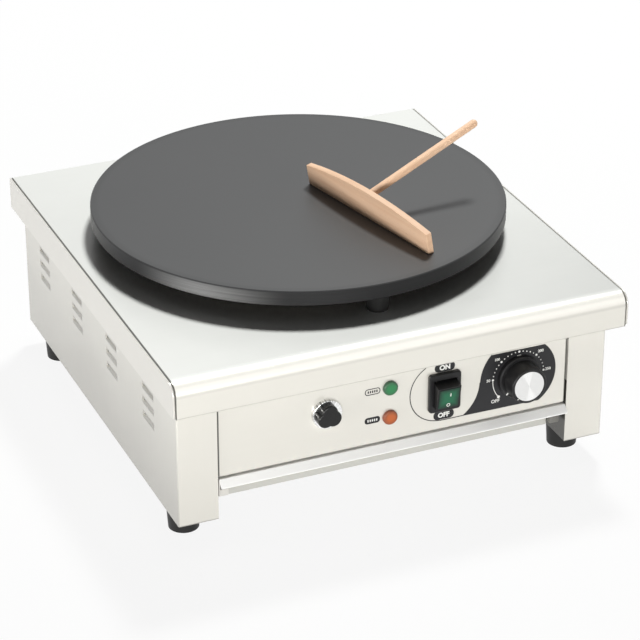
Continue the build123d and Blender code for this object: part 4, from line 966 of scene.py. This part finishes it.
dial = {
    "film": 0.10,            # thickness of the printed film
    "corner": (97.2, 133.5),          # its outline starts here and runs clockwise
    "right": ((127.0, 106.0), 37.0, 48.0, -57.0, 24),
    "tail": (66.9, 75.6),
    "hollow": ((46.0, 108.0), 39.0, -56.0, -2.0, 16),
    "bulge": ((127.0, 106.0), 41.4, 178.0, 137.0, 12),
    "hole": 9.0,             # radius of the opening for the knob's shaft
    "ring": ((45.3, 107.4), 31.0, 119.7, 260.7, 36),  # the line round the switch
    "ringEnd": [(46.0, 76.0), (56.0, 76.0), (68.4, 76.0)],
    "ringWidth": 0.9,
    "ink": 0.18,             # height of the white marks above the panel
    "bold": 0.10,            # what is added to the letters' strokes
    "scale": ((125.0, 105.0), 26.3),  # centre and radius
    "first": (50, 176.5),    # number and its place in degrees
    "last": (250, 3.2),
    "step": 10,
    "numbered": 50,          # each multiple of this has the larger dot
    "off": 221.0,
    "dots": {"small": 0.62, "numbered": 1.15, "off": 1.5},
    "dotSteps": {"small": 16, "numbered": 16, "off": 20},
    "sweepEnds": (3.0, -3.6),         # the line from the first number to OFF stays off both, degrees
    "sweepWidth": 0.7,
    "sweepSteps": 20,
    "labels": {              # place across and up, size of the letters
        "50": (94.1, 107.0, 3.9),
        "100": (102.8, 127.6, 3.7),
        "150": (125.2, 126.5, 3.2),
        "200": (147.6, 127.6, 3.9),
        "250": (155.9, 106.9, 3.9),
        "OFF": (102.0, 83.9, 5.0),
    },
}

film = bmesh.new()
outline = [dial["corner"], *circle(*dial["right"]), dial["tail"], *circle(*dial["hollow"]),
           *circle(*dial["bulge"])]
knobMiddle = [(knobLow[i] + knobHigh[i]) / 2 / mm for i in (0, 2)]
addShape(film, outline, dial["film"], [circle(knobMiddle, dial["hole"])])
addShape(film, band(circle(*dial["ring"]) + dial["ringEnd"], dial["ringWidth"]), dial["film"])
layOn("dialFilm", film, onPanel, finishes["printBlack"], "chassis")

ink = bmesh.new()
firstNumber, firstTurn = dial["first"]
lastNumber, lastTurn = dial["last"]
dots = []
for number in range(firstNumber, lastNumber + 1, dial["step"]):
    share = (number - firstNumber) / (lastNumber - firstNumber)
    kind = "small" if number % dial["numbered"] else "numbered"
    dots.append((firstTurn + (lastTurn - firstTurn) * share, kind))
for turn, kind in [*dots, (dial["off"], "off")]:
    dot = circle(onCircle(*dial["scale"], turn), dial["dots"][kind], steps=dial["dotSteps"][kind])
    addShape(ink, dot, dial["ink"])
afterFirst, beforeOff = dial["sweepEnds"]
sweep = circle(*dial["scale"], firstTurn + afterFirst, dial["off"] + beforeOff, dial["sweepSteps"])
addShape(ink, band(sweep, dial["sweepWidth"]), dial["ink"])
for words, (x, z, size) in dial["labels"].items():
    addWords(ink, words, size, (x, z), dial["ink"], dial["bold"])
layOn("dialMarks", ink, onPanel, finishes["printWhite"], "chassis")
print("dial printed")


labels = {
    "film": 0.14,            # heights above the panel
    "ink": 0.22,
    "bold": 0.30,
    "switchCorner": 4.3,
    "switch": (("ON", (49.0, 131.4), (20.5, 9.0), 6.9),       # word, place, plate, size of the letters
               ("OFF", (48.9, 81.5), (20.8, 9.2), 6.6)),
    "framed": (-23.3, 121.6),         # the upper lamp's label is a frame with dark bars
    "plain": (-23.3, 91.7),           # and the lower one's a dark plate with white bars
    "lampLabel": (15.4, 6.6, 3.0),    # width, height, corner
    "rim": 0.8,              # width of the frame
    "bars": 5,
    "barStep": 2.15,
    "bar": (1.25, 2.5, 0.3),          # width, height, corner
}
signs = bmesh.new()
letters = bmesh.new()
for word, spot, plate, size in labels["switch"]:
    addShape(signs, roundedBox(spot, *plate, labels["switchCorner"]), labels["film"])
    addWords(letters, word, size, spot, labels["ink"], labels["bold"])
width, height, corner = labels["lampLabel"]
rim = labels["rim"]
window = roundedBox(labels["framed"], width - 2 * rim, height - 2 * rim, corner - rim)
for kind, holes, build, raised in (("framed", [window], signs, "film"), ("plain", [], letters, "ink")):
    x, z = labels[kind]
    addShape(signs, roundedBox((x, z), width, height, corner), labels["film"], holes)
    for i in range(labels["bars"]):
        along = (i - (labels["bars"] - 1) / 2) * labels["barStep"]
        addShape(build, roundedBox((x + along, z), *labels["bar"]), labels[raised])
layOn("panelLabels", signs, onPanel, finishes["printBlack"], "chassis")
layOn("labelLetters", letters, onPanel, finishes["printWhite"], "chassis")


knobMarks = {
    "turn": 225.0,
    "thickness": 0.06,
    "dash": (5.4, 18.2, 20.9, 1.3),   # on the skirt: from the panel, from radius, to radius, width
    "tick": (22.5, 15.5, 16.7, 0.9),  # on the cap
}
marks = bmesh.new()
knobAxis = (pivots["knob_turn"][0] / mm, pivots["knob_turn"][2] / mm)
for key in ("dash", "tick"):
    front, inside, outside, width = knobMarks[key]
    ends = [onCircle(knobAxis, radius, knobMarks["turn"]) for radius in (inside, outside)]
    addShape(marks, band(ends, width), knobMarks["thickness"], foot=front)
layOn("knobMarks", marks, onPanel, finishes["printWhite"], "knob")


rocker = {
    "tilt": 11.3,            # at rest, degrees
    "face": 12.3,            # from its pivot to the front of the lens
    "ink": 0.08,
    "bar": ((1.4, 4.0), 0.9, 3.6, 0.3),       # place, width, height, corner
    "ring": ((0.1, -7.6), 1.9, 1.2, 28),      # place, outer and inner radius, steps
}
tilted = Matrix.Rotation(math.radians(rocker["tilt"]), 4, "X")
forward = Matrix.Translation((0.0, -rocker["face"] * mm, 0.0))
onRocker = Matrix.Translation(pivots["switch_rock"]) @ tilted @ forward @ standing
symbols = bmesh.new()
addShape(symbols, roundedBox(*rocker["bar"]), rocker["ink"])
spot, outer, inner, steps = rocker["ring"]
addShape(symbols, circle(spot, outer, steps=steps), rocker["ink"], [circle(spot, inner, steps=steps)])
layOn("rockerSymbols", symbols, onRocker, finishes["printWhite"], "rocker")
print("labels and marks done")


softening = {
    "weld": 0.000001,        # metres
    "flat": 0.2,             # faces within this angle become one, degrees
    "sharp": 40.0,           # edges sharper than this are rounded
    "steps": 2,
    "widths": {"left_end_cap": 0.5, "right_end_cap": 0.5, "left_side_panel": 0.6,
               "right_side_panel": 0.6, "crumb_tray": 0.3, "spreader_blade": 0.7},
}
for node, width in softening["widths"].items():
    weld = nodes[node].modifiers.new("weld", "WELD")
    weld.merge_threshold = softening["weld"]
    merge = nodes[node].modifiers.new("flatten", "DECIMATE")
    merge.decimate_type = "DISSOLVE"
    merge.angle_limit = math.radians(softening["flat"])
    edge = nodes[node].modifiers.new("edge", "BEVEL")
    edge.width = width * mm
    edge.segments = softening["steps"]
    edge.limit_method = "ANGLE"
    edge.angle_limit = math.radians(softening["sharp"])
    edge.harden_normals = True
print("edges softened")
